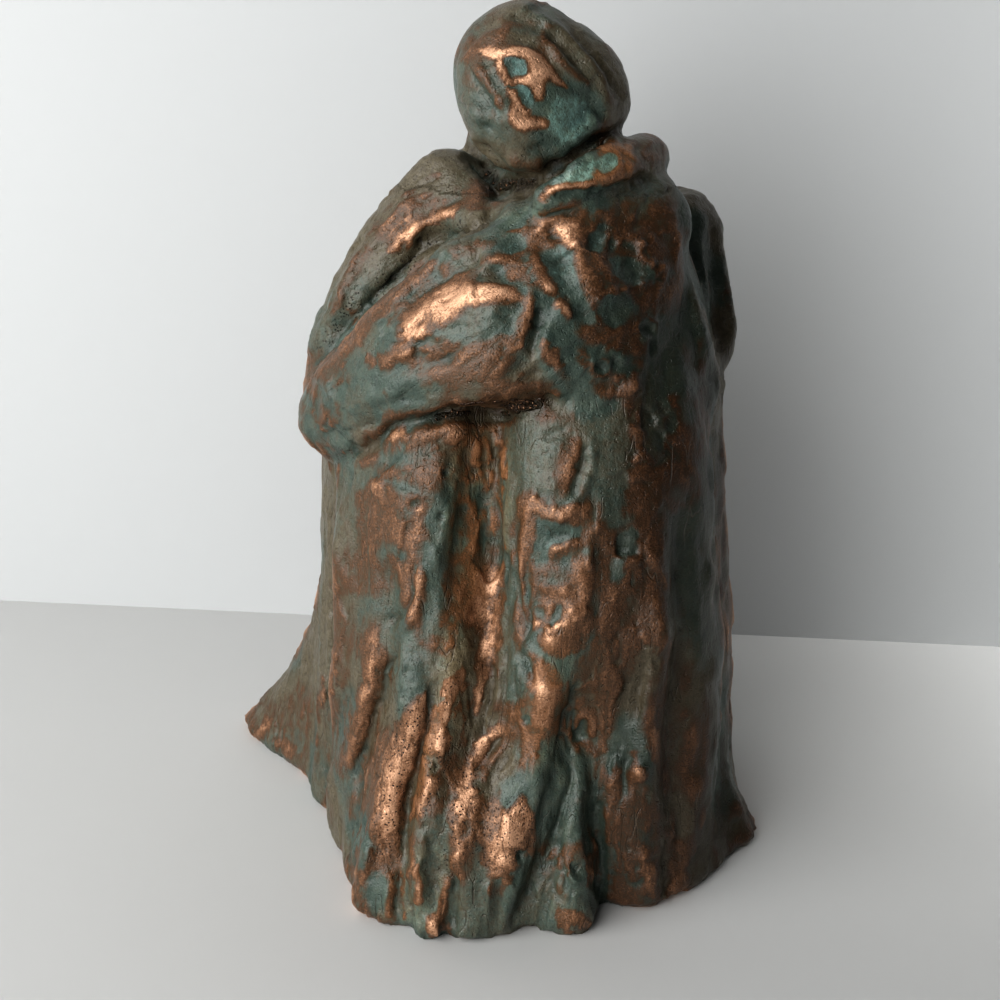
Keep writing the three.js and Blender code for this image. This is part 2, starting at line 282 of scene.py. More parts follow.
def seen_share(points, outward):
    """How fully each vertex shows to the camera, from 0 to 1."""
    column, row, depth = seen_at(points)
    view = EYE_MM - points
    facing = (outward * view).sum(1) / np.linalg.norm(view, axis=1)
    cell = (row // DEPTH_CELL).astype(int) * IMAGE_SIZE + (column // DEPTH_CELL).astype(int)
    cell -= cell.min()
    nearest = np.full(cell.max() + 1, np.inf)
    np.minimum.at(nearest, cell, depth)
    return smooth_step(GRAZING, FACING, facing) * (depth < nearest[cell] + DEPTH_TOLERANCE)


# %% [markdown]
# Marks of hands and tools are uneven everywhere. Smooth noise in space gives that, and cells give dabs with
# edges between them. Both are worked out from whole numbers, so every run gives the same casting.

# %% Noise of hands and tools
LATTICE = (374761393, 668265263, 1442695041, 974634777)
STIRS = ((13, 1274126177), (16, 2246822519))
WORD = 0xFFFFFFFF
KEEP_POSITIVE = 1000.0


def scattered(x, y, z, seed):
    """A repeatable value from 0 to 1 for each whole-number cell."""
    word = sum(part * factor for part, factor in zip((x, y, z, seed), LATTICE)) & WORD
    for shift, factor in STIRS:
        word = ((word ^ (word >> shift)) * factor) & WORD
    return (word ^ (word >> 15)) / WORD


def noise(points, size, seed):
    """Smooth noise from 0 to 1 with bumps of the given size in mm."""
    scaled = points / size + KEEP_POSITIVE
    base = np.floor(scaled).astype(np.int64)
    part = scaled - base
    part = part ** 3 * (part * (part * 6 - 15) + 10)
    total = np.zeros(len(points))
    for corner in range(8):
        step = np.array([corner & 1, corner >> 1 & 1, corner >> 2 & 1])
        share = np.where(step, part, 1 - part).prod(1)
        total += share * scattered(*(base + step).T, seed)
    return total


def rough_noise(points, size, seed, layers=3):
    total = sum(noise(points, size / 2 ** i, seed + i) / 2 ** i for i in range(layers))
    return total / sum(1 / 2 ** i for i in range(layers))


def cells(points, size, seed):
    """Splits space into cells like pressed dabs: gap to the next cell, own value and own lean."""
    scaled = points / size + KEEP_POSITIVE
    base = np.floor(scaled).astype(np.int64)
    first = np.full(len(points), 9.0)
    second = first.copy()
    own = np.zeros(len(points))
    lean = np.zeros(len(points))
    for shift in np.ndindex(3, 3, 3):
        cell = base + np.array(shift) - 1
        seat = cell + np.stack([scattered(*cell.T, seed + k) for k in range(3)], 1)
        away = np.linalg.norm(scaled - seat, axis=1)
        closer = away < first
        tilt = np.stack([scattered(*cell.T, seed + k) for k in range(4, 7)], 1) - 0.5
        second = np.where(closer, first, np.minimum(second, away))
        own = np.where(closer, scattered(*cell.T, seed + 3), own)
        lean = np.where(closer, ((scaled - seat) * tilt).sum(1) * 2, lean)
        first = np.where(closer, away, first)
    return second - first, own, lean


# %% [markdown]
# The side that the visitor sees first gets squares of half the size, because most of the fine marks are
# there. Its darkest strip at the right keeps the large ones. Subdivide is the plain tool for this: it cuts
# the selected faces and joins them cleanly to the rest.

# %% Half-size squares where the camera looks
DARK_SIDE_COLUMN = 668
WIDEN_ROUNDS = 3


def face_corners():
    """The vertex of each face corner, the face of each corner, and how many corners each face has."""
    count = np.empty(len(mesh.polygons), dtype=np.int64)
    mesh.polygons.foreach_get("loop_total", count)
    corners = np.empty(len(mesh.loops), dtype=np.int64)
    mesh.loops.foreach_get("vertex_index", corners)
    return corners, np.repeat(np.arange(len(mesh.polygons)), count), count


def face_mean(values, corners, face_of_corner, count):
    return np.bincount(face_of_corner, weights=values[corners]) / count


def select_faces(chosen):
    bpy.ops.object.mode_set(mode="EDIT")
    bpy.ops.mesh.select_mode(type="FACE")
    bpy.ops.mesh.select_all(action="DESELECT")
    bpy.ops.object.mode_set(mode="OBJECT")
    mesh.polygons.foreach_set("select", chosen)
    bpy.ops.object.mode_set(mode="EDIT")


points = places()
shown = seen_share(points, normals())
for step in range(WIDEN_ROUNDS):
    shown = np.maximum(shown, mean_of_neighbours(shown, ends_of_edges())[:, 0])
faces = face_corners()
face_top = np.full(len(mesh.polygons), -np.inf)
np.maximum.at(face_top, faces[1], points[faces[0], 2])
in_view = (face_mean(shown, *faces) > 0.5) & (face_top > FLAT_FOOT)
select_faces(in_view & (face_mean(seen_at(points)[0], *faces) < DARK_SIDE_COLUMN))
bpy.ops.mesh.subdivide(number_cuts=1)
bpy.ops.object.mode_set(mode="OBJECT")
print("after the finer squares:", len(mesh.polygons))

# %% [markdown]
# The underside is flat and hidden, so its many squares are joined into one face. A rim of squares stays
# around it, so that the hem can still be shaped where it lifts off the table.

# %% Flat underside
TABLE_TOUCH = 0.01
RIM_SQUARES = 3
LAST_SMOOTHING = 3
ALL_OF_IT = 0.99

under = places()[:, 2] < TABLE_TOUCH
edges = ends_of_edges()
inner = under.astype(float)
for step in range(RIM_SQUARES):
    inner = (mean_of_neighbours(inner, edges)[:, 0] > ALL_OF_IT) & under
    inner = inner.astype(float)
select_faces(face_mean(inner, *face_corners()) > ALL_OF_IT)
bpy.ops.mesh.dissolve_faces()
bpy.ops.object.mode_set(mode="OBJECT")
mesh = casting.data
points = relaxed(places(), ends_of_edges(), LAST_SMOOTHING)
put(points)
triangles = sum(len(face.vertices) - 2 for face in mesh.polygons)
print("with a plain underside:", triangles, "triangles")

# %% [markdown]
# A mark is a path of picture points with a kind, a half width in mm and a height in mm. A ridge or hollow is
# round, a crease is sharp, and a step raises the side to the right of someone walking along the path.
# The marks fade at both ends and wander a little, as marks of a hand do.

# %% Paths
def bent(path, pieces=4):
    """A smooth curve through the points of a path."""
    ends = [path[0], *path, path[-1]]
    curve = []
    for before, start, end, after in zip(ends, ends[1:], ends[2:], ends[3:]):
        for k in range(pieces):
            t = k / pieces
            curve.append(tuple(
                0.5 * (2 * b + (c - a) * t + (2 * a - 5 * b + 4 * c - d) * t * t
                       + (3 * b - a - 3 * c + d) * t ** 3)
                for a, b, c, d in zip(before, start, end, after)))
    return [*curve, path[-1]]


def beside(path, across, down):
    """Distance from a path, the side (+1 on the walker's right), the place along it and its length."""
    away = np.full(len(across), np.inf)
    side = np.ones(len(across))
    place = np.zeros(len(across))
    run = 0.0
    for (x0, y0), (x1, y1) in zip(path, path[1:]):
        dx, dy = x1 - x0, y1 - y0
        length = math.hypot(dx, dy)
        if length == 0:
            continue
        t = np.clip(((across - x0) * dx + (down - y0) * dy) / length ** 2, 0, 1)
        off = np.hypot(across - x0 - t * dx, down - y0 - t * dy)
        closer = off < away
        away = np.where(closer, off, away)
        side = np.where(closer, np.sign(dx * (down - y0) - dy * (across - x0)), side)
        place = np.where(closer, run + t * length, place)
        run += length
    return away, side, place, run


# %% How a mark shapes the skin
GENTLE_FLANK, STEEP_FLANK = 1.5, 0.75
LIP_HEIGHT, LIP_PLACE = 0.25, 1.9
STEP_REACH = 2.2
MARK_REACH = 4.5
FADED_ENDS = 0.22
END_HEIGHT = 0.12
FULL_CUT_MM = 0.9
RIM_PLACE, RIM_WIDTH = 1.15, 0.3


def mark_profile(kind, away, side):
    if kind == "ridge":
        return np.where(side > 0, np.exp(-(away / GENTLE_FLANK) ** 2), np.exp(-(away / STEEP_FLANK) ** 2))
    if kind == "hollow":
        return -np.exp(-away ** 2)
    if kind == "crease":
        return LIP_HEIGHT * np.exp(-(away - LIP_PLACE) ** 2) - np.exp(-1.5 * away)
    signed = away * side
    return np.tanh(signed * 2.5) * np.exp(-away / STEP_REACH)


def marked(marks, across, down, scale, weight, wobble):
    """Height in mm that the marks give each vertex; scale is units of across and down for one mm."""
    height = np.zeros(len(across))
    for kind, width, rise, *path in marks.values():
        path = bent(path)
        reach = MARK_REACH * width * scale.max()
        xs, ys = zip(*path)
        near = (across > min(xs) - reach) & (across < max(xs) + reach)
        near &= (down > min(ys) - reach) & (down < max(ys) + reach) & (weight > 0)
        away, side, place, run = beside(path, across[near], down[near])
        faded = np.clip(np.minimum(place, run - place) / (FADED_ENDS * run) + END_HEIGHT, 0, 1)
        shape = mark_profile(kind, away / (width * scale[near]), side)
        height[near] += rise * shape * faded * weight[near] * wobble[near]
    return height


def cuts(marks, across, down, scale, weight, wobble):
    """How deep the creases among the marks cut, from 0 to 1."""
    creases = {name: mark for name, mark in marks.items() if mark[0] == "crease"}
    return np.clip(-marked(creases, across, down, scale, weight, wobble) / FULL_CUT_MM, 0, 1)


def pitted(pits, across, down, scale, weight):
    """Height of round marks: a middle place, a radius in pixels, a rise in mm and a rim in mm."""
    height = np.zeros(len(across))
    for x, y, radius, rise, rim in pits.values():
        away = np.hypot(across - x, down - y) / radius
        height += weight * rise * np.exp(-(away ** 2) * 1.2)
        height += weight * rim * np.exp(-((away - RIM_PLACE) / RIM_WIDTH) ** 2)
    return height


# %% [markdown]
# First come the large marks: the crevice between the two sleeves, the edge of the front sleeve, the trough
# in the robe below it, and the deep folds and cracks of the hem.

# %% Large marks of the front
LARGE_MARKS = {
    "crevice between the sleeves": ("crease", 2.6, 2.6, (492, 172), (488, 200), (478, 222), (445, 236),
        (410, 262), (375, 296), (345, 325), (320, 355), (309, 374)),
    "front sleeve crest": ("step", 2.8, 1.5, (306, 377), (330, 348), (350, 322), (380, 297), (415, 264),
        (440, 247), (470, 228), (505, 213)),
    "underside of the sleeve": ("crease", 1.9, 2.4, (316, 462), (345, 456), (380, 441), (400, 426),
        (435, 418), (470, 409), (500, 408), (556, 402)),
    "lip of the sleeve": ("ridge", 3.2, 0.9, (328, 450), (365, 438), (392, 418), (432, 407), (470, 398),
        (532, 395)),
    "gap under the head": ("crease", 1.5, 2.2, (536, 176), (560, 163), (575, 151), (594, 137), (622, 128)),
    "neck hollow": ("hollow", 3.6, 3.0, (468, 143), (480, 156), (490, 170), (500, 182), (530, 184)),
    "dark side of the rear sleeve": ("hollow", 3.0, 1.4, (478, 150), (490, 172), (494, 200), (482, 222)),
    "bright ridge of the sleeve": ("ridge", 5.0, 1.7, (400, 330), (430, 312), (455, 298), (480, 292),
        (505, 296), (521, 306)),
    "ridge above it": ("ridge", 2.6, 0.8, (486, 262), (505, 261), (524, 278)),
    "groove along the sleeve": ("hollow", 3.2, 1.0, (378, 322), (400, 300), (428, 283), (455, 272)),
    "trough, left wall": ("step", 3.0, 1.0, (466, 424), (461, 480), (457, 520), (452, 560), (450, 590)),
    "trough, right wall": ("step", 2.8, 1.0, (501, 592), (498, 540), (500, 480), (505, 424)),
    "copper ridge in the trough": ("ridge", 4.1, 1.1, (494, 556), (488, 600), (484, 640), (484, 676)),
    "flank of the flow": ("ridge", 5.0, 2.0, (466, 584), (458, 630), (452, 680), (446, 730)),
    "its foot": ("ridge", 2.6, 1.0, (480, 662), (479, 692), (472, 728), (462, 746)),
    "left crack": ("crease", 1.7, 1.6, (404, 636), (392, 655), (385, 672), (384, 695), (374, 714),
        (362, 752), (350, 782)),
    "band left of the crack": ("ridge", 2.6, 0.7, (374, 640), (370, 690), (358, 730), (342, 768)),
    "first hem ridge": ("ridge", 4.4, 0.25, (424, 640), (414, 690), (408, 735), (396, 785), (386, 830),
        (384, 862)),
    "first hem ridge, right edge": ("step", 2.0, 1.2, (434, 660), (428, 705), (414, 765), (403, 800),
        (400, 850)),
    "second hem ridge": ("ridge", 3.2, 0.6, (458, 676), (446, 715), (436, 750), (426, 785), (416, 815)),
    "groove between them": ("crease", 1.8, 1.1, (438, 682), (425, 728), (414, 765), (406, 800), (404, 845),
        (408, 875), (414, 905)),
    "third hem ridge": ("ridge", 3.6, 0.6, (500, 722), (480, 762), (466, 802), (454, 838), (450, 866)),
    "hem groove": ("crease", 1.9, 1.9, (452, 866), (456, 888), (452, 938)),
    "lump by the hem": ("ridge", 7.2, 0.9, (514, 812), (508, 850)),
    "large lump": ("ridge", 5.0, 1.0, (532, 680), (548, 705), (540, 735)),
    "copper frame, left limb": ("ridge", 2.8, 1.0, (532, 486), (529, 525), (524, 570), (522, 625)),
    "copper frame, bar": ("ridge", 2.4, 1.3, (528, 500), (548, 508), (570, 513), (592, 502)),
    "hollow in the frame": ("hollow", 6.0, 1.2, (560, 528), (560, 570)),
    "lobe under the frame": ("ridge", 4.0, 1.2, (585, 540), (580, 600), (568, 632), (552, 640)),
    "slanting crack": ("crease", 1.9, 1.8, (570, 735), (568, 756), (572, 776), (562, 815), (548, 850),
        (534, 878), (510, 930)),
    "notch in the robe": ("step", 2.6, 2.0, (602, 912), (605, 870), (603, 830), (598, 790)),
    "right light ridge": ("ridge", 2.4, 1.1, (654, 650), (652, 700), (650, 772)),
    "right furrow": ("hollow", 3.5, 1.3, (640, 655), (626, 720), (612, 772)),
    "shoulder ridge": ("ridge", 3.0, 0.9, (568, 218), (580, 236), (578, 270)),
    "knotted ridge": ("ridge", 2.8, 1.2, (528, 252), (540, 270), (550, 286), (553, 300)),
    "channel across the shoulder": ("hollow", 3.4, 1.2, (548, 262), (572, 292), (592, 324)),
    "cloak edge": ("ridge", 2.6, 1.2, (676, 172), (694, 205), (700, 260), (704, 310), (712, 392)),
    "cloak groove": ("crease", 2.4, 1.8, (700, 200), (713, 245), (715, 300), (715, 388)),
    "collar underside": ("crease", 2.2, 1.8, (546, 199), (570, 193), (600, 193), (632, 184), (664, 170)),
    "hairline": ("step", 3.0, 1.4, (602, 130), (601, 108), (590, 88), (568, 72), (552, 54), (546, 34)),
    "brow": ("ridge", 2.6, 0.9, (478, 54), (500, 53), (520, 50), (540, 63), (564, 84)),
}
print(len(LARGE_MARKS), "large marks")

# %% [markdown]
# The medium marks are the strands of hair, the flutes of the collar, the wrinkles of the sleeves and the
# short cracks and rims of the robe, from the head down to the hem.

# %% Medium marks of the front
MEDIUM_MARKS = {
    # Head
    "left branch": ("ridge", 1.7, 0.7, (490, 58), (499, 72), (505, 86), (519, 106)),
    "curl under it": ("ridge", 1.6, 0.6, (517, 104), (512, 114), (518, 123), (542, 124)),
    "long strand": ("ridge", 1.4, 1.3, (476, 62), (484, 74), (494, 92), (508, 108)),
    "second strand": ("ridge", 1.4, 1.2, (462, 97), (478, 108), (486, 124)),
    "third strand": ("ridge", 1.3, 1.1, (470, 106), (484, 127)),
    "furrow of the long strand": ("crease", 1.3, 1.1, (470, 66), (480, 82), (492, 100), (502, 116)),
    "furrow of the second strand": ("crease", 1.3, 1.0, (458, 100), (472, 112), (480, 130)),
    "crown strand": ("ridge", 1.8, 1.0, (520, 6), (572, 42), (606, 84), (622, 108)),
    "crown furrow": ("hollow", 1.6, 1.1, (512, 14), (556, 38), (586, 72), (612, 104)),
    "inner strand": ("ridge", 1.6, 0.8, (552, 38), (574, 60), (600, 90)),
    "dark furrow": ("crease", 1.5, 1.3, (545, 26), (560, 44), (578, 66), (598, 92)),
    "outer furrow": ("hollow", 1.7, 1.1, (560, 18), (592, 52), (616, 92), (624, 112)),
    "temple furrow": ("hollow", 1.5, 0.8, (470, 40), (480, 30), (500, 18)),
    "chin": ("ridge", 2.2, 1.1, (506, 160), (526, 160), (546, 168)),
    "furrow over the chin": ("crease", 1.4, 0.8, (526, 149), (544, 150)),
    "jaw edge": ("ridge", 1.6, 1.1, (566, 142), (584, 126), (600, 118)),
    "cheek mark": ("ridge", 1.3, 0.7, (583, 116), (594, 116)),
    "crack beside the head": ("crease", 1.2, 0.4, (478, 118), (500, 138), (508, 152)),
    # Collar
    "lit collar edge": ("ridge", 1.5, 0.8, (566, 162), (580, 153), (598, 144)),
    "fold of the collar": ("ridge", 1.2, 0.7, (545, 196), (554, 188), (574, 185), (598, 182)),
    "flat of the collar": ("ridge", 3.6, 2.0, (622, 142), (600, 148), (580, 160), (560, 174)),
    "pale line": ("ridge", 1.3, 0.6, (548, 204), (562, 199), (596, 198)),
    "first flute": ("hollow", 1.8, 1.2, (636, 142), (646, 152), (656, 170)),
    "second flute": ("hollow", 1.6, 0.9, (650, 144), (660, 156), (666, 168)),
    "flute edge": ("ridge", 1.4, 0.9, (644, 139), (656, 152), (668, 166)),
    # Rear sleeve
    "patch edge": ("ridge", 1.9, 0.9, (411, 252), (414, 230), (434, 219), (458, 206)),
    "pitted band": ("ridge", 2.0, 1.0, (368, 287), (386, 271), (406, 259), (420, 249)),
    "shoulder line": ("crease", 1.3, 0.5, (412, 186), (428, 180), (442, 172)),
    "outer furrow of the arm": ("hollow", 2.0, 0.6, (398, 184), (360, 236), (324, 300), (312, 352)),
    "arm strand": ("ridge", 1.8, 0.6, (404, 204), (366, 258), (338, 306), (322, 352)),
    "arm strand beside it": ("ridge", 1.6, 0.5, (384, 222), (350, 272), (326, 328)),
    "inner furrow of the arm": ("hollow", 1.6, 0.5, (372, 262), (342, 300), (322, 342)),
    "shoulder facet": ("step", 3.0, 0.6, (454, 158), (420, 168), (396, 186)),
    # Front sleeve
    "wrinkle": ("ridge", 1.6, 0.7, (528, 282), (531, 300), (527, 318), (518, 346)),
    "crease beside it": ("crease", 1.5, 1.2, (536, 300), (536, 330), (530, 362)),
    "short ridge": ("ridge", 1.5, 0.7, (554, 300), (566, 308), (570, 322)),
    "band on the crest": ("ridge", 1.8, 0.7, (470, 238), (438, 260), (404, 292), (382, 314)),
    "thin crest line": ("crease", 1.2, 0.5, (500, 226), (462, 246), (430, 268)),
    "brown streak": ("ridge", 1.7, 0.4, (356, 322), (363, 344), (374, 366)),
    "cuff ridge": ("ridge", 1.6, 0.7, (320, 370), (328, 384), (330, 402)),
    "cuff furrow": ("hollow", 1.8, 0.7, (308, 398), (318, 424), (336, 442)),
    "forearm furrow": ("hollow", 2.6, 0.7, (380, 372), (420, 366), (458, 348)),
    "forearm crease": ("crease", 1.3, 0.6, (428, 368), (450, 358), (464, 344)),
    "second line of the crease": ("crease", 1.4, 0.9, (468, 416), (500, 418), (546, 410)),
    "cuff line": ("crease", 1.2, 0.6, (340, 434), (366, 428), (384, 416)),
    "lower forearm": ("ridge", 2.2, 0.6, (344, 404), (372, 396), (398, 384)),
    "elbow ridge": ("ridge", 2.2, 0.5, (538, 338), (556, 362), (574, 392), (592, 404)),
    "elbow furrow": ("hollow", 2.0, 0.6, (500, 380), (520, 366), (546, 372)),
    "lip crack": ("crease", 1.3, 1.0, (549, 392), (556, 410)),
    # Shoulder and back
    "shoulder notch": ("crease", 1.3, 0.8, (546, 226), (556, 236), (566, 242)),
    "ridge to the collar": ("ridge", 1.8, 0.6, (536, 224), (556, 219), (572, 221)),
    "arm strand on the right": ("ridge", 1.8, 0.8, (722, 215), (729, 260), (731, 300), (736, 345)),
    "arm furrow on the right": ("hollow", 1.6, 0.7, (716, 222), (722, 280), (724, 350)),
    "cloak furrow": ("hollow", 1.8, 0.7, (684, 214), (690, 262), (694, 330), (702, 385)),
    "dark plane edge": ("step", 2.2, 0.7, (656, 318), (648, 350), (644, 400), (646, 452)),
    "dark plane furrow": ("hollow", 2.2, 0.5, (668, 330), (666, 400), (664, 452)),
    "dark plane strand": ("ridge", 1.8, 0.5, (684, 322), (682, 390), (690, 440)),
    # Middle of the robe
    "inner ridge": ("ridge", 1.4, 1.0, (474, 430), (478, 456), (481, 486)),
    "second inner ridge": ("ridge", 1.4, 1.2, (484, 432), (491, 460), (487, 498)),
    "third inner ridge": ("ridge", 1.4, 1.0, (494, 424), (502, 446)),
    "trough floor": ("ridge", 1.6, 0.7, (474, 498), (476, 530), (478, 560)),
    "thin crease": ("crease", 1.2, 1.2, (499, 498), (498, 540), (503, 562), (500, 596)),
    "left bank": ("ridge", 2.2, 0.6, (444, 436), (441, 480), (446, 520), (436, 580)),
    "lip under the sleeve": ("ridge", 2.4, 0.6, (392, 440), (420, 434), (452, 428), (470, 426)),
    "hip crack": ("crease", 1.3, 1.1, (421, 560), (412, 572), (409, 600), (392, 624)),
    "hip crack rim": ("ridge", 1.4, 0.7, (427, 562), (417, 580), (415, 610), (400, 642)),
    "curve on the hip": ("ridge", 1.7, 0.7, (324, 498), (331, 540), (341, 566), (352, 596)),
    "hip furrow": ("hollow", 2.0, 0.5, (346, 486), (350, 530), (360, 560)),
    "patch top edge": ("step", 1.8, 0.6, (366, 480), (390, 484), (424, 500)),
    "seam": ("crease", 1.2, 1.0, (519, 512), (513, 542), (518, 600), (525, 640)),
    "seam fork": ("crease", 1.1, 0.7, (512, 590), (508, 612), (503, 632)),
    "deep crack": ("crease", 1.4, 1.8, (518, 651), (527, 665), (531, 682)),
    "line below": ("crease", 1.1, 0.7, (506, 646), (505, 670), (502, 700)),
    "copper rim in the frame": ("ridge", 1.8, 1.1, (548, 548), (562, 546), (579, 539)),
    "groove in the frame": ("crease", 1.4, 1.2, (526, 556), (528, 600), (524, 646)),
    "slit": ("crease", 1.3, 0.9, (560, 604), (554, 624)),
    "knob ridge": ("ridge", 1.4, 0.7, (540, 583), (556, 586), (572, 590)),
    # Right side of the robe
    "upright crack": ("crease", 1.3, 1.4, (585, 438), (583, 456), (578, 480), (572, 498)),
    "ledge": ("step", 1.8, 1.0, (613, 556), (628, 556), (642, 554)),
    "dark line": ("crease", 1.3, 0.9, (624, 530), (620, 562)),
    "edge of the frame": ("ridge", 1.6, 0.8, (600, 522), (592, 540), (590, 570)),
    "lumpy edge": ("ridge", 2.2, 1.0, (712, 560), (722, 605), (722, 640), (716, 684)),
    "lumpy furrow": ("hollow", 2.0, 1.0, (704, 505), (706, 560), (712, 620), (708, 690)),
    "long plane": ("ridge", 2.6, 0.6, (660, 520), (656, 600), (664, 660)),
    "plane furrow": ("hollow", 2.4, 0.6, (676, 560), (680, 620), (676, 700)),
    "right furrow edge": ("crease", 1.3, 0.8, (646, 652), (640, 690), (636, 726)),
    # Left of the hem
    "train ridge": ("ridge", 2.2, 0.8, (337, 644), (324, 690), (312, 726)),
    "train furrow": ("hollow", 2.2, 0.8, (320, 640), (300, 690), (290, 726)),
    "outer train ridge": ("ridge", 2.0, 0.6, (302, 660), (282, 694), (268, 726)),
    "train tuck": ("hollow", 2.4, 0.9, (356, 676), (338, 720), (330, 760)),
    "thin line": ("crease", 1.2, 0.8, (397, 646), (392, 680), (395, 716)),
    "left foot furrow": ("hollow", 2.2, 0.8, (372, 745), (360, 790), (352, 842)),
    "copper scallop": ("step", 1.6, 0.8, (360, 836), (371, 856), (362, 884)),
    "foot ridge": ("ridge", 1.6, 0.8, (391, 866), (390, 912)),
    "foot crease": ("crease", 1.5, 1.0, (398, 862), (397, 926)),
    "groove edge": ("ridge", 1.5, 0.8, (413, 862), (419, 890), (420, 912)),
    "plane between grooves": ("hollow", 2.6, 0.5, (434, 826), (430, 900)),
    "upper crease": ("crease", 1.3, 1.0, (490, 662), (493, 690), (484, 712)),
    "upper crease rim": ("ridge", 1.4, 0.8, (498, 668), (499, 696), (488, 716)),
    "diagonal crease": ("crease", 1.5, 1.4, (503, 736), (488, 758), (474, 778)),
    "diagonal rim": ("ridge", 1.5, 0.9, (508, 742), (494, 764), (482, 786)),
    "bright edge of the hem": ("ridge", 1.5, 1.1, (449, 874), (446, 902), (440, 930)),
    "hem lump": ("ridge", 2.2, 1.2, (437, 916), (439, 934)),
    "hem fold": ("crease", 1.5, 1.0, (498, 872), (500, 900), (497, 930)),
    "hem fold lit side": ("ridge", 1.5, 0.8, (490, 880), (486, 920)),
    # Right of the hem
    "curl": ("ridge", 1.6, 1.0, (566, 712), (582, 700), (593, 716), (588, 742)),
    "curl inner": ("crease", 1.3, 0.9, (584, 712), (580, 730), (572, 744)),
    "crescent at the hem": ("ridge", 1.5, 1.0, (566, 854), (569, 872), (582, 884)),
    "crescent shadow": ("crease", 1.3, 0.9, (561, 852), (564, 876), (576, 890)),
    "panel strand": ("ridge", 2.0, 0.8, (584, 770), (574, 812), (566, 846)),
    "panel furrow": ("hollow", 1.8, 0.8, (556, 762), (548, 800), (540, 840)),
    "panel middle": ("ridge", 2.0, 0.6, (540, 756), (536, 800), (530, 840)),
    "hem slant": ("crease", 1.4, 0.9, (536, 876), (520, 908), (512, 936)),
    "hem slant lit side": ("ridge", 1.5, 0.7, (548, 880), (538, 910), (528, 936)),
    "right lobe": ("ridge", 2.4, 0.8, (590, 850), (588, 900)),
    "light crease": ("ridge", 1.5, 0.9, (668, 806), (674, 822), (668, 842)),
    "light crease shadow": ("crease", 1.3, 0.9, (676, 802), (680, 830), (672, 856)),
    "lump on the ridge": ("ridge", 2.0, 0.9, (641, 764), (644, 782)),
    "left of the ridge": ("crease", 1.4, 1.0, (632, 750), (624, 780), (618, 812)),
    "fold at the right hem": ("ridge", 2.0, 0.8, (642, 846), (650, 880), (654, 902)),
    "furrow at the right hem": ("hollow", 2.0, 0.8, (662, 850), (668, 900)),
    "right hip ridge": ("ridge", 2.4, 0.9, (716, 690), (718, 722), (712, 760)),
    "right hip furrow": ("hollow", 2.2, 0.9, (700, 660), (704, 720), (698, 790)),
    "flare ridge": ("ridge", 2.4, 0.8, (722, 770), (736, 806), (748, 836)),
    "flare furrow": ("hollow", 2.4, 0.8, (704, 800), (706, 840), (696, 880)),
    "slanting spur": ("ridge", 1.6, 0.8, (650, 786), (658, 806), (664, 826)),
}
print(len(MEDIUM_MARKS), "medium marks")

# %% [markdown]
# Knobs, pits and lumps are round marks: column, row, radius in pixels, then the rise of the middle and of
# the rim in mm. Most of them are on the shoulder, where drops of wet clay and finger tips left their prints.

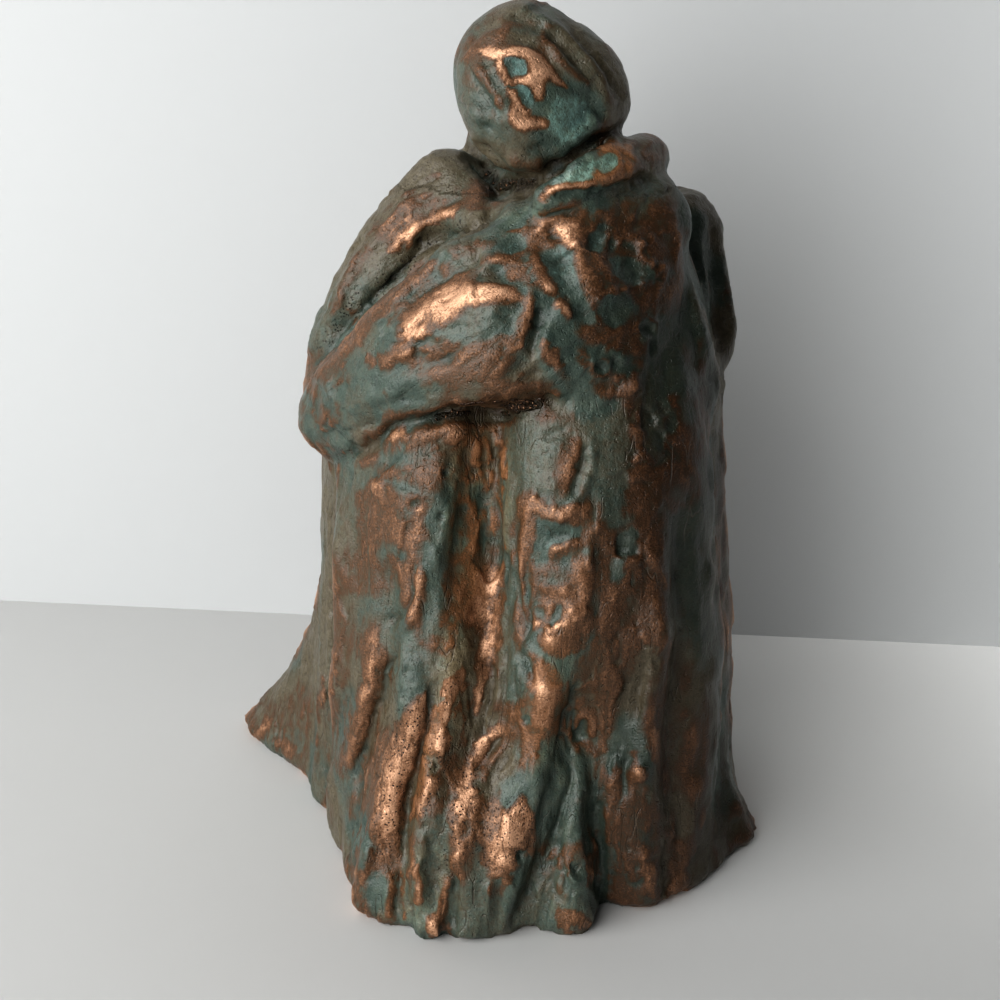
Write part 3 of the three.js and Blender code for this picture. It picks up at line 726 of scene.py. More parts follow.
# %% Round marks of the front
ROUND_MARKS = {
    "pit on the jaw": (506, 130, 4, -0.3, 0.1),
    "flat of the crown": (524, 36, 12, -0.5, 0.0),
    "disc on the collar": (607, 163, 11, -0.6, 0.3),
    "teal dip of the collar": (582, 170, 9, -0.4, 0.0),
    "notch of the collar": (592, 190, 4, -1.0, 0.2),
    "hole in the rear sleeve": (420, 241, 4, -1.4, 0.3),
    "dip in the rear sleeve": (430, 226, 9, -0.6, 0.0),
    "ear-shaped pit": (400, 328, 4, -0.9, 0.5),
    "spot below it": (402, 340, 5, -0.4, 0.2),
    "dip beside the ridge": (500, 275, 9, -0.5, 0.0),
    "dip on the shoulder": (518, 243, 11, -0.5, 0.2),
    "cup": (538, 312, 5, -0.6, 0.5),
    "shoulder dip": (560, 258, 14, -0.7, 0.1),
    "teal well": (598, 242, 9, -0.7, 0.2),
    "teal pool": (634, 270, 13, -0.6, 0.2),
    "large teal pool": (614, 310, 17, -0.7, 0.3),
    "lower pool": (546, 320, 14, -0.5, 0.1),
    "rimmed pool": (647, 330, 8, -0.7, 0.6),
    "ring": (600, 368, 7, -0.6, 0.8),
    "lump by the ring": (621, 358, 6, 0.7, 0.0),
    "dip by the ring": (610, 384, 6, -0.7, 0.0),
    "lump under the ring": (632, 384, 7, 0.6, 0.0),
    "dip over the ring": (592, 348, 7, -0.5, 0.0),
    "knob by the pool": (641, 282, 3.5, 1.0, 0.0),
    "knob under the pool": (626, 287, 4, 1.1, -0.2),
    "upper knob": (642, 244, 4, 1.2, -0.2),
    "middle knob": (650, 262, 3.5, 0.9, 0.0),
    "outer knob": (661, 264, 3.5, 0.9, 0.0),
    "pale knob": (620, 244, 4, 0.9, 0.0),
    "small knob": (602, 298, 3, 0.8, 0.0),
    "high knob": (654, 238, 3, 0.7, 0.0),
    "bead": (578, 244, 4, 0.9, 0.0),
    "hip knob": (588, 452, 5, 0.7, -0.1),
    "knob above the crack": (590, 440, 4, 0.5, 0.0),
    "pit in the bank": (442, 517, 4, -1.0, 0.3),
    "pit under the sleeve": (447, 472, 5, -1.1, 0.6),
    "bright facet": (458, 432, 11, 1.2, 0.0),
    "flecked rise": (384, 476, 9, 0.5, 0.0),
    "triangle dent": (415, 507, 6, -0.6, 0.2),
    "blob": (553, 640, 10, 1.1, 0.0),
    "upper lobe": (575, 612, 10, 0.8, 0.0),
    "second slit": (538, 614, 7, -0.6, 0.2),
    "dip in the lump": (527, 721, 6, -0.7, 0.3),
    "teal hole at the hem": (520, 856, 6, -0.8, 0.3),
    "knob at the notch": (596, 796, 4, 0.9, 0.0),
    "knob at the edge": (584, 714, 6, 0.9, 0.0),
    "pit at the right": (703, 852, 5, -0.9, 0.2),
    "upper pit at the right": (699, 806, 4, -0.8, 0.2),
    "pit on the hip": (697, 676, 4, -0.8, 0.2),
    "dent of the train": (264, 727, 5, 0.5, 0.0),
    "knob on the train": (330, 690, 6, 0.8, 0.0),
    "small knob on the train": (418, 695, 4, 0.4, 0.0),
    "copper bead": (548, 628, 4, 0.5, 0.0),
    "bead on the frame": (534, 498, 5, 0.7, 0.0),
    "bead on the bar": (567, 540, 4, 0.8, 0.0),
    "lump at the right": (642, 772, 6, 0.9, 0.0),
}
print(len(ROUND_MARKS), "round marks")

# %% [markdown]
# The other sides were never seen, so they are finished in keeping and plainer: long folds, a few cracks and
# the edge of the second sleeve, placed by bearing in degrees and height in mm like the large folds.

# %% Marks of the other sides
AXIS_MM = np.array([14.89, -1.54])
DEGREE_MM = 1.05
FIRST_BEARING = 240
SIDE_MARKS = {
    "back of the cloak": ("step", 3.2, 1.4, (350, 30), (354, 90), (352, 150), (348, 190)),
    "right back fold": ("ridge", 3.0, 1.2, (372, 8), (374, 60), (370, 118)),
    "right back groove": ("crease", 2.6, 1.8, (382, 4), (384, 60), (388, 122)),
    "second back fold": ("ridge", 3.2, 1.3, (394, 20), (398, 80), (402, 130)),
    "second back groove": ("crease", 2.4, 1.6, (408, 6), (414, 70), (418, 116)),
    "back crack": ("crease", 1.8, 1.2, (424, 60), (430, 88), (426, 120)),
    "middle back fold": ("ridge", 2.8, 1.3, (432, 6), (436, 50), (440, 104)),
    "middle back groove": ("crease", 2.6, 1.9, (448, 4), (452, 60), (454, 112)),
    "far left fold": ("ridge", 3.0, 1.2, (466, 8), (470, 70), (474, 126)),
    "far left groove": ("crease", 2.4, 1.7, (482, 6), (486, 60), (490, 108)),
    "train fold": ("ridge", 2.8, 1.2, (494, 8), (498, 46), (506, 96)),
    "train crease": ("crease", 2.2, 1.5, (504, 4), (510, 40), (520, 88)),
    "left back fold": ("ridge", 2.6, 1.1, (520, 10), (528, 56), (532, 120)),
    "left back groove": ("crease", 2.2, 1.4, (536, 4), (542, 50), (548, 104)),
    "left fold": ("ridge", 2.4, 1.0, (552, 20), (554, 70), (550, 124)),
    "left groove": ("crease", 2.0, 1.1, (560, 12), (566, 60), (570, 100)),
    "second sleeve, lower edge": ("step", 3.0, 1.6, (400, 148), (430, 140), (460, 134), (500, 128),
        (536, 124)),
    "second sleeve, fold": ("ridge", 2.6, 1.0, (410, 166), (440, 158), (476, 150), (512, 144)),
    "second sleeve, furrow": ("hollow", 2.6, 0.9, (414, 176), (450, 168), (490, 160), (520, 150)),
    "crossed sleeve, edge": ("step", 2.8, 1.4, (530, 160), (500, 172), (466, 182), (430, 190)),
    "elbow crack": ("crease", 1.6, 1.0, (390, 160), (396, 150), (392, 138)),
    "back crack at the hem": ("crease", 1.8, 1.2, (460, 20), (456, 36), (462, 52)),
    "shoulder furrow": ("hollow", 2.4, 0.8, (366, 190), (372, 170), (376, 140)),
    "shoulder strand": ("ridge", 2.2, 0.8, (358, 192), (362, 168), (366, 136)),
    "hem tuck at the back": ("crease", 2.0, 1.4, (420, 2), (423, 18), (421, 34)),
    "hem tuck at the train": ("crease", 2.0, 1.4, (514, 2), (516, 14), (514, 30)),
}
print(len(SIDE_MARKS), "marks on the other sides")

# %% [markdown]
# Hands leave three more traces all over: broad lumps, overlapping dabs of clay pressed flat, and drag lines
# that follow the cloth. The drag lines run down the robe, along the sleeves and over the hair.

# %% Drawn-out noise
UPRIGHT = np.array([0, 0, 1.0])
STROKE_WAY = np.array([0.1, 0, 1.0])
SLEEVE_WAY = np.array([-0.72, 0.30, -0.62])
HAIR_WAY = np.array([0.55, 0.25, -0.80])
FOREARM, SLEEVE_FOOT, ARMPIT, SHOULDER = 128, 134, 150, 190
JAW, NAPE, CHIN, CHEEK = 206, 208, 214, 216


def above(points, low, high):
    """Rises from 0 below the first height in mm to 1 above the second."""
    return smooth_step(low, high, points[:, 2])


def stretched(points, way, factor):
    """Places squeezed along one direction, so that noise read there is drawn out along it."""
    way = way / np.linalg.norm(way)
    along = points @ way
    return points - np.outer(along * (1 - 1 / factor), way)


def dragged(points, size, seed, layers=3):
    """Noise from 0 to 1 drawn out along the cloth or the hair."""
    robe = rough_noise(stretched(points, UPRIGHT, 4.5), size, seed, layers)
    sleeve = rough_noise(stretched(points, SLEEVE_WAY, 3.5), size, seed + 20, layers)
    hair = rough_noise(stretched(points, HAIR_WAY, 3.5), size, seed + 40, layers)
    on_sleeve = above(points, FOREARM, ARMPIT)
    on_head = above(points, NAPE, CHEEK)
    cloth = robe * (1 - on_sleeve) + sleeve * on_sleeve
    return cloth * (1 - on_head) + hair * on_head


# %% Traces of hands
def crests(values):
    """Turns smooth noise from 0 to 1 into sharp crests with round valleys, around zero."""
    return 0.6 - np.abs(values - 0.5) * 4


def strokes(points, size, seed):
    """Tool strokes: facets drawn out along the cloth, each with its own height and lean, in units of one."""
    down_robe = cells(stretched(points, STROKE_WAY, 2.4), size, seed)
    along_sleeve = cells(stretched(points, SLEEVE_WAY, 1.8), size, seed + 7)
    lift = 8 * (rough_noise(points, size=9.0, seed=seed + 14, layers=1) - 0.5)
    on_sleeve = points[:, 2] + lift > SLEEVE_FOOT
    gap, own, lean = (np.where(on_sleeve, high, low) for low, high in zip(down_robe, along_sleeve))
    return ((own - 0.5) * 0.7 + lean) * smooth_step(0.0, 0.08, gap)


def hand_traces(points):
    """Height in mm of the lumps, dabs, drag lines and cracks; the head is calmer than the hem."""
    head = above(points, JAW, CHEEK)
    hem = 1 - above(points, 30, 90)
    patchy = smooth_step(0.38, 0.62, rough_noise(points, size=22.0, seed=49, layers=2))
    busy = (0.40 + 0.65 * patchy + 0.30 * hem) * (1 - 0.5 * head)
    lumps = (rough_noise(points, size=15.0, seed=5, layers=2) - 0.5) * 1.6 * (1 - 0.4 * head)
    shaken = points + 2.5 * (rough_noise(points, size=7.0, seed=8, layers=2) - 0.5)[:, None]
    dabs = strokes(shaken, size=8.0, seed=11) * 1.1 * (1 - 0.2 * head)
    dabs = dabs + strokes(shaken, size=4.0, seed=61) * 0.55 * busy
    folds = -crests(dragged(points, size=7.0, seed=21, layers=2)) * 0.30
    wrinkles = -crests(dragged(points, size=3.4, seed=31, layers=2)) * 0.15
    wrinkles = wrinkles + crests(noise(points, size=2.2, seed=35)) * 0.05
    where = smooth_step(0.45, 0.60, rough_noise(points, size=16.0, seed=45, layers=2))
    off_line = np.abs(dragged(points, size=8.0, seed=41, layers=2) - 0.5)
    cracks = -0.9 * where * (1 - smooth_step(0.0, 0.035, off_line))
    return lumps + dabs + (folds + wrinkles + cracks) * busy


# %% [markdown]
# Now the marks are pressed in, the large ones first. After each layer the surface directions are read again,
# so a small mark on the flank of a large one goes straight into that flank.

# %% Press the marks
WANDER, HEAD_WANDER = 8.0, 3.0
MEDIUM_STRENGTH = 1.4
ROUND_STRENGTH = 1.5
TRACE_STRENGTH, HIDDEN_EXTRA = 0.75, 0.10
edges = ends_of_edges()


def pushed(points, height):
    """Moves the skin along its smoothed directions, and keeps the foot on the table."""
    put(points)
    way = normals()
    for step in range(2):
        way = way + mean_of_neighbours(way, edges)
    way /= np.linalg.norm(way, axis=1)[:, None]
    way[points[:, 2] < FLAT_FOOT, 2] = 0
    moved = points + way * height[:, None]
    moved[:, 2] = np.maximum(moved[:, 2], 0)
    return moved


def front_view(points):
    """How fully each vertex shows, its wandering picture place and the pixels for one mm there."""
    put(points)
    share = seen_share(points, normals())
    for step in range(2):
        share = 0.5 * share + 0.5 * mean_of_neighbours(share, edges)[:, 0]
    column, row, depth = seen_at(points)
    wander = WANDER - (WANDER - HEAD_WANDER) * above(points, JAW, CHIN)
    column = column + wander * (rough_noise(points, size=8.0, seed=51, layers=2) - 0.5)
    row = row + wander * (rough_noise(points, size=8.0, seed=55, layers=2) - 0.5)
    return share, column, row, FOCAL_PIXELS / depth


def side_view(points):
    """Bearing and height of each vertex, as lengths in mm on an unrolled wrapping."""
    from_axis = points[:, :2] - AXIS_MM
    bearing = np.degrees(np.arctan2(from_axis[:, 1], from_axis[:, 0])) % 360
    bearing = np.where(bearing < FIRST_BEARING, bearing + 360, bearing)
    around = bearing * DEGREE_MM + 4.0 * (rough_noise(points, size=12.0, seed=65, layers=2) - 0.5)
    return around, points[:, 2]


share, column, row, scale = front_view(points)
wobble = 0.7 + 0.6 * rough_noise(points, size=5.0, seed=61, layers=2)
large = marked(LARGE_MARKS, column, row, scale, share, wobble)
cut = cuts(LARGE_MARKS, column, row, scale, share, wobble)
side_marks = {
    name: (kind, width, rise, *[(turn * DEGREE_MM, up) for turn, up in path])
    for name, (kind, width, rise, *path) in SIDE_MARKS.items()
}
side_place = (*side_view(points), np.ones(len(points)), 1 - share, wobble)
large += marked(side_marks, *side_place)
cut = np.maximum(cut, cuts(side_marks, *side_place))
points = pushed(points, large)

share, column, row, scale = front_view(points)
medium = MEDIUM_STRENGTH * marked(MEDIUM_MARKS, column, row, scale, share, wobble)
cut = np.maximum(cut, cuts(MEDIUM_MARKS, column, row, scale, share, wobble * MEDIUM_STRENGTH))
medium += ROUND_STRENGTH * pitted(ROUND_MARKS, column, row, scale, share)
points = pushed(points, medium)
points = pushed(points, hand_traces(points) * (TRACE_STRENGTH + HIDDEN_EXTRA * (1 - share)))
points = relaxed(points, edges, rounds=1, shrink=0.3, swell=0.0)
put(points)
print("sculpted; highest point", round(points[:, 2].max(), 1), "mm")

# %% [markdown]
# The finish is painted as a few values on the skin. The main two are wear, from 0 in whole patina over brown
# to 1 in bright copper with a painted highlight, and verdigris, from grey-brown to clear blue-green. Patches
# are outlines in picture points, and streaks are paths with a half width, so each of them is where the
# casting was rubbed, and the brightest are also where a highlight is painted on.

# %% How paint is laid
# The top level is bare copper with a painted highlight laid on.
PATINA, BROWN, DARK_COPPER, COPPER, HIGHLIT_COPPER = 0.0, 0.42, 0.62, 0.8, 1.0
EDGE_SOFTNESS, EDGE_WANDER = 1.8, 7.0
STREAK_WIDTH, STREAK_WANDER, LEAST_STREAK = 1.05, 2.6, 0.15
HALO = 6.5
HALO_FROM = 0.55
HIGHLIT_FROM = 0.9
BARE_IN_HIGHLIT, BARE_IN_DULL, BARE_IN_STREAK = 0.2, 0.5, 0.45


def inside(outline, across, down):
    """Signed distance to an outline, positive inside it."""
    away = beside([*outline, outline[0]], across, down)[0]
    within = np.zeros(len(across), dtype=bool)
    for (x0, y0), (x1, y1) in zip(outline, [*outline[1:], outline[0]]):
        if y0 == y1:
            continue
        crosses = (y0 > down) != (y1 > down)
        within ^= crosses & (across < x0 + (down - y0) / (y1 - y0) * (x1 - x0))
    return np.where(within, away, -away)


def painted(field, layers, across, down, weight, uneven, bare_spots):
    """Lays each patch or streak over the field; bright ones get a brown border first."""
    for kind, level, soft, *path in layers.values():
        if kind == "patch":
            depth = inside(bent([*path, path[0]])[:-1], across, down) + EDGE_WANDER * uneven
            cover = smooth_step(-EDGE_SOFTNESS * soft, EDGE_SOFTNESS * soft, depth)
            border = smooth_step(-HALO - soft, 0, depth)
        else:
            width = soft * np.maximum(STREAK_WIDTH + STREAK_WANDER * uneven, LEAST_STREAK)
            away = beside(bent(path), across, down)[0]
            cover = smooth_step(width * 1.3, width * 0.2, away) * (1 - BARE_IN_STREAK * bare_spots)
            border = smooth_step(width + HALO, width, away)
        if HALO_FROM < level <= HIGHLIT_COPPER:
            field = np.maximum(field, BROWN * border * weight)
        left_bare = BARE_IN_HIGHLIT if level > HIGHLIT_FROM else BARE_IN_DULL
        cover = cover * weight * (1 - left_bare * bare_spots)
        field = field * (1 - cover) + level * cover
    return field


# %% [markdown]
# The levels of wear are named after what shows. A border between patina and copper passes through brown by
# itself, because the wear value rises across it. A later layer covers the ones before it. The brightest
# patches and streaks are laid where the window glints on the copper, so they are painted highlights on
# rubbed copper.

# %% Rubbed patches, streaks and painted highlights of the front
WEAR_AND_HIGHLIGHTS = {
    # Head
    "brown of the crown": ("patch", BROWN, 5, (490, 48), (495, 26), (515, 20), (545, 24), (556, 50),
        (545, 60), (520, 46)),
    "flat of the crown": ("patch", 0.12, 4, (512, 27), (536, 28), (538, 42), (520, 46), (510, 38)),
    "left brown": ("patch", BROWN, 5, (462, 52), (470, 38), (495, 38), (492, 50), (472, 60)),
    "dark brown of the hair": ("streak", 0.27, 5, (546, 28), (552, 52), (566, 68), (590, 84)),
    "brown of the hair": ("streak", 0.2, 6, (556, 26), (580, 44), (604, 80)),
    "brown of the jaw": ("patch", 0.24, 6, (505, 128), (545, 130), (548, 172), (525, 176), (505, 158)),
    "jaw patina": ("patch", 0.08, 5, (500, 136), (512, 134), (545, 136), (545, 154), (520, 154)),
    "arch of the head": ("patch", 1.05, 1.6, (478, 50), (492, 47), (505, 49), (520, 47), (534, 51),
        (546, 60), (555, 70), (567, 88), (556, 84), (546, 76), (536, 66), (526, 58), (508, 56), (492, 60)),
    "left leg of the arch": ("streak", 1.0, 3.2, (497, 54), (500, 66), (506, 80), (513, 94), (520, 107)),
    "right leg of the arch": ("patch", 1.0, 1.6, (529, 59), (541, 64), (548, 75), (543, 84), (542, 97),
        (536, 99), (533, 89), (526, 85), (513, 83), (511, 79), (524, 77), (531, 69)),
    "curl of the arch": ("patch", 0.9, 1.8, (514, 103), (523, 104), (528, 112), (527, 118), (541, 121),
        (544, 125), (531, 127), (518, 126), (511, 117)),
    "hole of the arch": ("patch", PATINA, 1.5, (503, 59), (511, 57), (522, 63), (529, 72), (521, 75),
        (511, 71), (506, 66)),
    "gap under it": ("patch", PATINA, 1.5, (515, 87), (522, 84), (530, 92), (538, 105), (530, 109),
        (521, 101)),
    "nick in the leg": ("streak", 0.1, 1.6, (500, 84), (508, 86), (514, 90)),
    # Collar
    "brown of the collar": ("patch", 0.5, 4, (592, 168), (598, 150), (612, 141), (628, 142), (634, 154),
        (628, 174), (606, 186), (594, 180)),
    "disc": ("patch", PATINA, 2, (596, 163), (602, 154), (612, 153), (618, 162), (612, 172), (602, 173)),
    "right end of the collar": ("patch", 0.34, 5, (632, 142), (648, 138), (666, 158), (662, 170),
        (636, 166)),
    "collar highlight": ("streak", 0.86, 2.4, (544, 197), (552, 189), (574, 185), (592, 184)),
    "patina of the collar": ("patch", 0.04, 4, (550, 182), (562, 168), (578, 158), (596, 146), (594, 166),
        (586, 180), (566, 182)),
    "patina under the collar": ("streak", 0.04, 4, (548, 202), (562, 196), (592, 193)),
    # Rear sleeve
    "brown of the rear sleeve": ("patch", 0.44, 5, (398, 200), (408, 188), (424, 188), (440, 196),
        (458, 190), (458, 206), (434, 218), (414, 230), (412, 250), (394, 250), (372, 238), (380, 216)),
    "copper of the rear sleeve": ("streak", 0.62, 9, (402, 244), (410, 228), (428, 217), (452, 208)),
    "bright edge": ("streak", 0.86, 4.5, (409, 250), (412, 234), (428, 221), (450, 211)),
    "mark of the shoulder": ("streak", 0.44, 4, (420, 184), (438, 175)),
    "brown streak of the arm": ("streak", 0.30, 8, (366, 256), (346, 284), (332, 306)),
    "upper streak of the arm": ("streak", 0.28, 6, (392, 206), (368, 236), (350, 262)),
    "pale band": ("streak", 0.05, 7, (372, 284), (386, 271), (408, 257), (428, 236)),
    # Front sleeve
    "brown band of the crest": ("patch", 0.46, 7, (330, 356), (344, 340), (376, 308), (410, 278), (446, 252),
        (480, 236), (500, 232), (498, 244), (462, 258), (430, 280), (404, 296), (380, 322), (352, 352),
        (338, 368)),
    "teal in the band": ("patch", 0.05, 4, (432, 256), (446, 250), (452, 258), (438, 266)),
    "brown of the sleeve": ("patch", 0.52, 6, (388, 318), (404, 300), (430, 286), (460, 270), (486, 274),
        (520, 290), (524, 306), (500, 304), (466, 308), (440, 322), (420, 338), (390, 342)),
    "copper of the sleeve": ("patch", 0.86, 4, (398, 324), (420, 306), (450, 286), (476, 283), (516, 292),
        (520, 304), (498, 302), (476, 308), (455, 320), (433, 331), (403, 341)),
    "bright ridge": ("patch", HIGHLIT_COPPER, 4, (430, 306), (452, 290), (476, 286), (512, 295), (516, 301),
        (478, 301), (452, 312), (436, 320)),
    "upper copper": ("patch", 0.9, 3, (494, 260), (506, 257), (517, 264), (522, 276), (514, 280),
        (508, 270)),
    "upper brown": ("patch", 0.50, 5, (484, 262), (496, 254), (516, 254), (534, 276), (528, 288), (514, 276),
        (498, 272)),
    "shine beside it": ("patch", 0.02, 3, (488, 264), (500, 264), (508, 276), (502, 284), (488, 278)),
    "patina of the sleeve": ("patch", 0.03, 5, (430, 330), (462, 312), (510, 310), (516, 330), (500, 346),
        (460, 344), (436, 344)),
    "brown of the forearm": ("patch", 0.50, 6, (374, 352), (400, 344), (436, 344), (470, 340), (500, 344),
        (496, 352), (462, 362), (430, 376), (384, 376)),
    "upper patina of the forearm": ("patch", 0.03, 4, (374, 326), (386, 322), (392, 340), (382, 352),
        (372, 340)),
    "left patina of the forearm": ("patch", 0.08, 5, (346, 366), (362, 362), (372, 384), (352, 392)),
    "streak of the forearm": ("streak", 0.54, 5.5, (352, 320), (362, 344), (374, 364)),
    "branch of the forearm": ("streak", 0.5, 4, (340, 352), (330, 366), (352, 336), (364, 324)),
    "brown of the cuff": ("patch", 0.36, 8, (300, 400), (312, 372), (330, 360), (346, 372), (350, 400),
        (340, 430), (312, 432)),
    "patina of the cuff": ("patch", 0.12, 6, (322, 384), (332, 380), (334, 398), (326, 402)),
    "patina under the forearm": ("patch", 0.05, 8, (346, 400), (380, 380), (430, 380), (440, 396),
        (390, 416), (350, 432)),
    "wrinkle copper": ("streak", 0.54, 5, (528, 304), (529, 322), (516, 344)),
    "wrinkle edge": ("streak", 0.45, 6, (520, 342), (480, 346), (440, 342)),
    "brown to the elbow": ("streak", 0.46, 5, (460, 372), (500, 368), (540, 378)),
    "elbow copper": ("streak", 0.52, 9, (536, 334), (556, 358), (576, 384), (592, 392)),
    "line under the sleeve": ("streak", 0.50, 5, (330, 458), (365, 446), (395, 424), (436, 414), (480, 404),
        (545, 402)),
    # Shoulder and back
    "patina band": ("patch", 0.03, 5, (500, 214), (545, 204), (600, 200), (622, 196), (662, 178), (660, 196),
        (640, 212), (622, 206), (570, 212), (540, 222), (505, 226)),
    "brown of the back": ("patch", 0.47, 8, (576, 204), (620, 206), (650, 196), (676, 210), (682, 300),
        (664, 330), (640, 400), (598, 404), (580, 340), (572, 290), (560, 230)),
    "spot on the shoulder": ("patch", PATINA, 2.5, (507, 240), (518, 234), (528, 238), (526, 250),
        (510, 252)),
    "rim of the spot": ("streak", 0.46, 3.5, (500, 254), (520, 257), (534, 244), (530, 230), (508, 230)),
    "shoulder copper": ("patch", 0.60, 6, (533, 222), (560, 214), (586, 216), (590, 240), (588, 270),
        (574, 272), (566, 252), (550, 246), (534, 250)),
    "bright shoulder ridge": ("patch", 0.95, 4, (556, 226), (570, 225), (577, 240), (577, 256), (568, 248),
        (560, 236)),
    "copper knot": ("patch", 0.54, 5, (528, 252), (542, 256), (552, 272), (562, 292), (556, 300), (546, 296),
        (536, 276)),
    "bright spot of the knot": ("streak", 0.9, 3.5, (550, 290), (553, 297)),
    "patina of the shoulder": ("patch", PATINA, 3.5, (544, 256), (556, 246), (574, 250), (572, 264),
        (582, 290), (600, 318), (592, 326), (572, 302), (552, 276)),
    "well": ("patch", PATINA, 2.5, (593, 236), (599, 229), (605, 238), (604, 252), (596, 252)),
    "pool": ("patch", PATINA, 3, (610, 258), (626, 260), (640, 262), (652, 272), (644, 284), (628, 280),
        (614, 272)),
    "large pool": ("patch", PATINA, 3, (600, 298), (620, 294), (636, 304), (632, 318), (612, 324),
        (602, 314)),
    "left pool": ("patch", PATINA, 4, (534, 304), (552, 298), (562, 312), (562, 340), (540, 340)),
    "rimmed pool": ("patch", PATINA, 2.5, (641, 322), (650, 318), (654, 334), (648, 342), (641, 336)),
    "lip": ("streak", DARK_COPPER, 4, (553, 308), (562, 304), (570, 316)),
    "patina at the rings": ("patch", 0.06, 4, (586, 352), (600, 344), (618, 352), (632, 356), (628, 374),
        (612, 370), (596, 374)),
    "patina under the rings": ("patch", 0.03, 4, (574, 366), (588, 376), (600, 396), (620, 408), (600, 420),
        (584, 404), (572, 384)),
    "dark plane": ("patch", 0.04, 5, (652, 318), (690, 318), (698, 380), (684, 440), (660, 460), (642, 430),
        (644, 360)),
    "brown of the dark plane": ("streak", 0.40, 5, (672, 396), (680, 420), (686, 440)),
    "brown behind the plane": ("streak", 0.42, 6, (700, 340), (706, 400), (706, 450)),
    "brown of the cloak": ("streak", 0.36, 6, (664, 210), (676, 260), (674, 310)),
    "grey of the cloak": ("streak", 0.05, 8, (690, 210), (700, 260), (704, 330), (712, 380)),
    # Middle of the robe
    "brown of the trough": ("patch", 0.44, 5, (462, 424), (506, 424), (502, 500), (499, 570), (470, 600),
        (446, 588), (456, 520)),
    "tan wall": ("streak", 0.56, 4.5, (502, 434), (500, 480), (494, 540), (490, 566)),
    "bright facet": ("patch", 0.72, 4, (450, 424), (466, 424), (464, 436), (456, 440), (448, 434)),
    "bright wall": ("streak", COPPER, 3, (494, 424), (504, 446)),
    "tan lip": ("patch", 0.40, 5, (374, 452), (392, 440), (425, 424), (452, 416), (500, 411), (512, 420),
        (500, 430), (470, 436), (440, 436), (404, 446)),
    "bright lip": ("streak", 0.8, 4, (394, 440), (404, 430)),
    "copper flow": ("patch", 0.9, 4, (486, 566), (496, 566), (501, 584), (498, 620), (492, 668), (480, 682),
        (478, 660), (470, 634), (466, 612), (472, 596)),
    "patina in the flow": ("patch", 0.1, 4, (466, 628), (474, 628), (478, 652), (466, 660), (458, 644)),
    "brown left of the flow": ("patch", 0.44, 5, (452, 590), (468, 596), (464, 622), (446, 640),
        (440, 616)),
    "hip patch": ("patch", 0.5, 5, (364, 482), (386, 486), (400, 497), (416, 500), (410, 514), (424, 520),
        (426, 545), (420, 560), (402, 552), (386, 542), (372, 552), (366, 576), (352, 560), (364, 548),
        (366, 518)),
    "hip patch below": ("patch", 0.5, 5, (386, 560), (402, 556), (424, 566), (424, 600), (420, 632),
        (452, 640), (450, 656), (424, 650), (400, 600)),
    "hip shine": ("streak", 0.58, 5, (418, 512), (414, 532), (404, 548)),
    "hip shine left": ("streak", 0.56, 5, (372, 490), (376, 516), (380, 536)),
    "grey of the hip": ("streak", 0.22, 8, (344, 500), (350, 540), (352, 570)),
    "copper band": ("patch", 0.52, 5, (366, 620), (384, 620), (380, 660), (374, 700), (362, 740), (346, 776),
        (336, 768), (350, 736), (362, 700), (364, 660)),
    "shine of the band": ("streak", 0.64, 4, (374, 644), (370, 676), (362, 706)),
    "right column of copper": ("patch", 0.5, 5, (564, 416), (578, 418), (582, 460), (574, 490), (558, 492),
        (552, 460), (566, 440)),
    "copper frame, limb": ("patch", 0.5, 4, (526, 490), (540, 494), (538, 540), (530, 590), (526, 640),
        (516, 640), (518, 580), (516, 540)),
    "copper frame, bar": ("patch", 0.6, 3.5, (530, 492), (546, 502), (570, 508), (592, 500), (590, 516),
        (576, 522), (548, 516), (530, 516)),
    "bright bar": ("streak", 0.84, 2.5, (540, 504), (556, 509), (588, 506)),
    "copper frame, right": ("streak", 0.5, 6, (588, 508), (586, 528), (582, 548)),
    "rim in the frame": ("streak", 0.62, 4, (549, 549), (564, 546), (577, 541)),
    "copper in the frame": ("patch", 0.48, 4, (548, 552), (576, 552), (578, 566), (560, 570), (548, 566)),
    "copper lobe": ("patch", 0.57, 4.5, (578, 556), (590, 570), (592, 610), (580, 646), (556, 652),
        (542, 640), (548, 620), (548, 590), (566, 586), (572, 574)),
    "bright lobe": ("streak", 0.88, 4, (570, 610), (578, 618), (552, 628)),
    "patina slit": ("patch", 0.02, 2, (559, 602), (563, 608), (554, 626), (550, 622)),
    "patina in the frame": ("patch", 0.03, 3, (540, 524), (570, 526), (576, 536), (552, 542), (544, 560),
        (532, 556)),
    "small copper": ("streak", 0.66, 4, (532, 624), (546, 626)),
    # Right of the robe
    "brown column": ("patch", 0.50, 6, (622, 404), (642, 408), (648, 460), (662, 500), (668, 560),
        (664, 640), (656, 660), (600, 660), (592, 600), (598, 530), (616, 528), (622, 500)),
    "patina notch": ("patch", 0.02, 2.5, (622, 534), (636, 528), (636, 552), (622, 556)),
    "patina under the ledge": ("patch", 0.03, 3, (612, 560), (624, 560), (620, 582), (612, 580)),
    "patina column": ("patch", 0.05, 5, (594, 410), (620, 408), (624, 460), (622, 510), (636, 520),
        (610, 522), (596, 490)),
    "brown black": ("patch", 0.42, 6, (660, 440), (690, 430), (704, 470), (700, 500), (680, 520),
        (664, 500)),
    "dark patina": ("patch", 0.03, 5, (676, 520), (708, 500), (714, 560), (710, 660), (690, 660), (672, 610),
        (668, 560)),
    "brown below": ("patch", 0.46, 6, (592, 640), (650, 640), (626, 690), (614, 740), (606, 790), (594, 790),
        (596, 700)),
    "brown right": ("patch", 0.44, 6, (662, 640), (688, 640), (690, 700), (690, 790), (668, 800), (660, 740),
        (664, 690)),
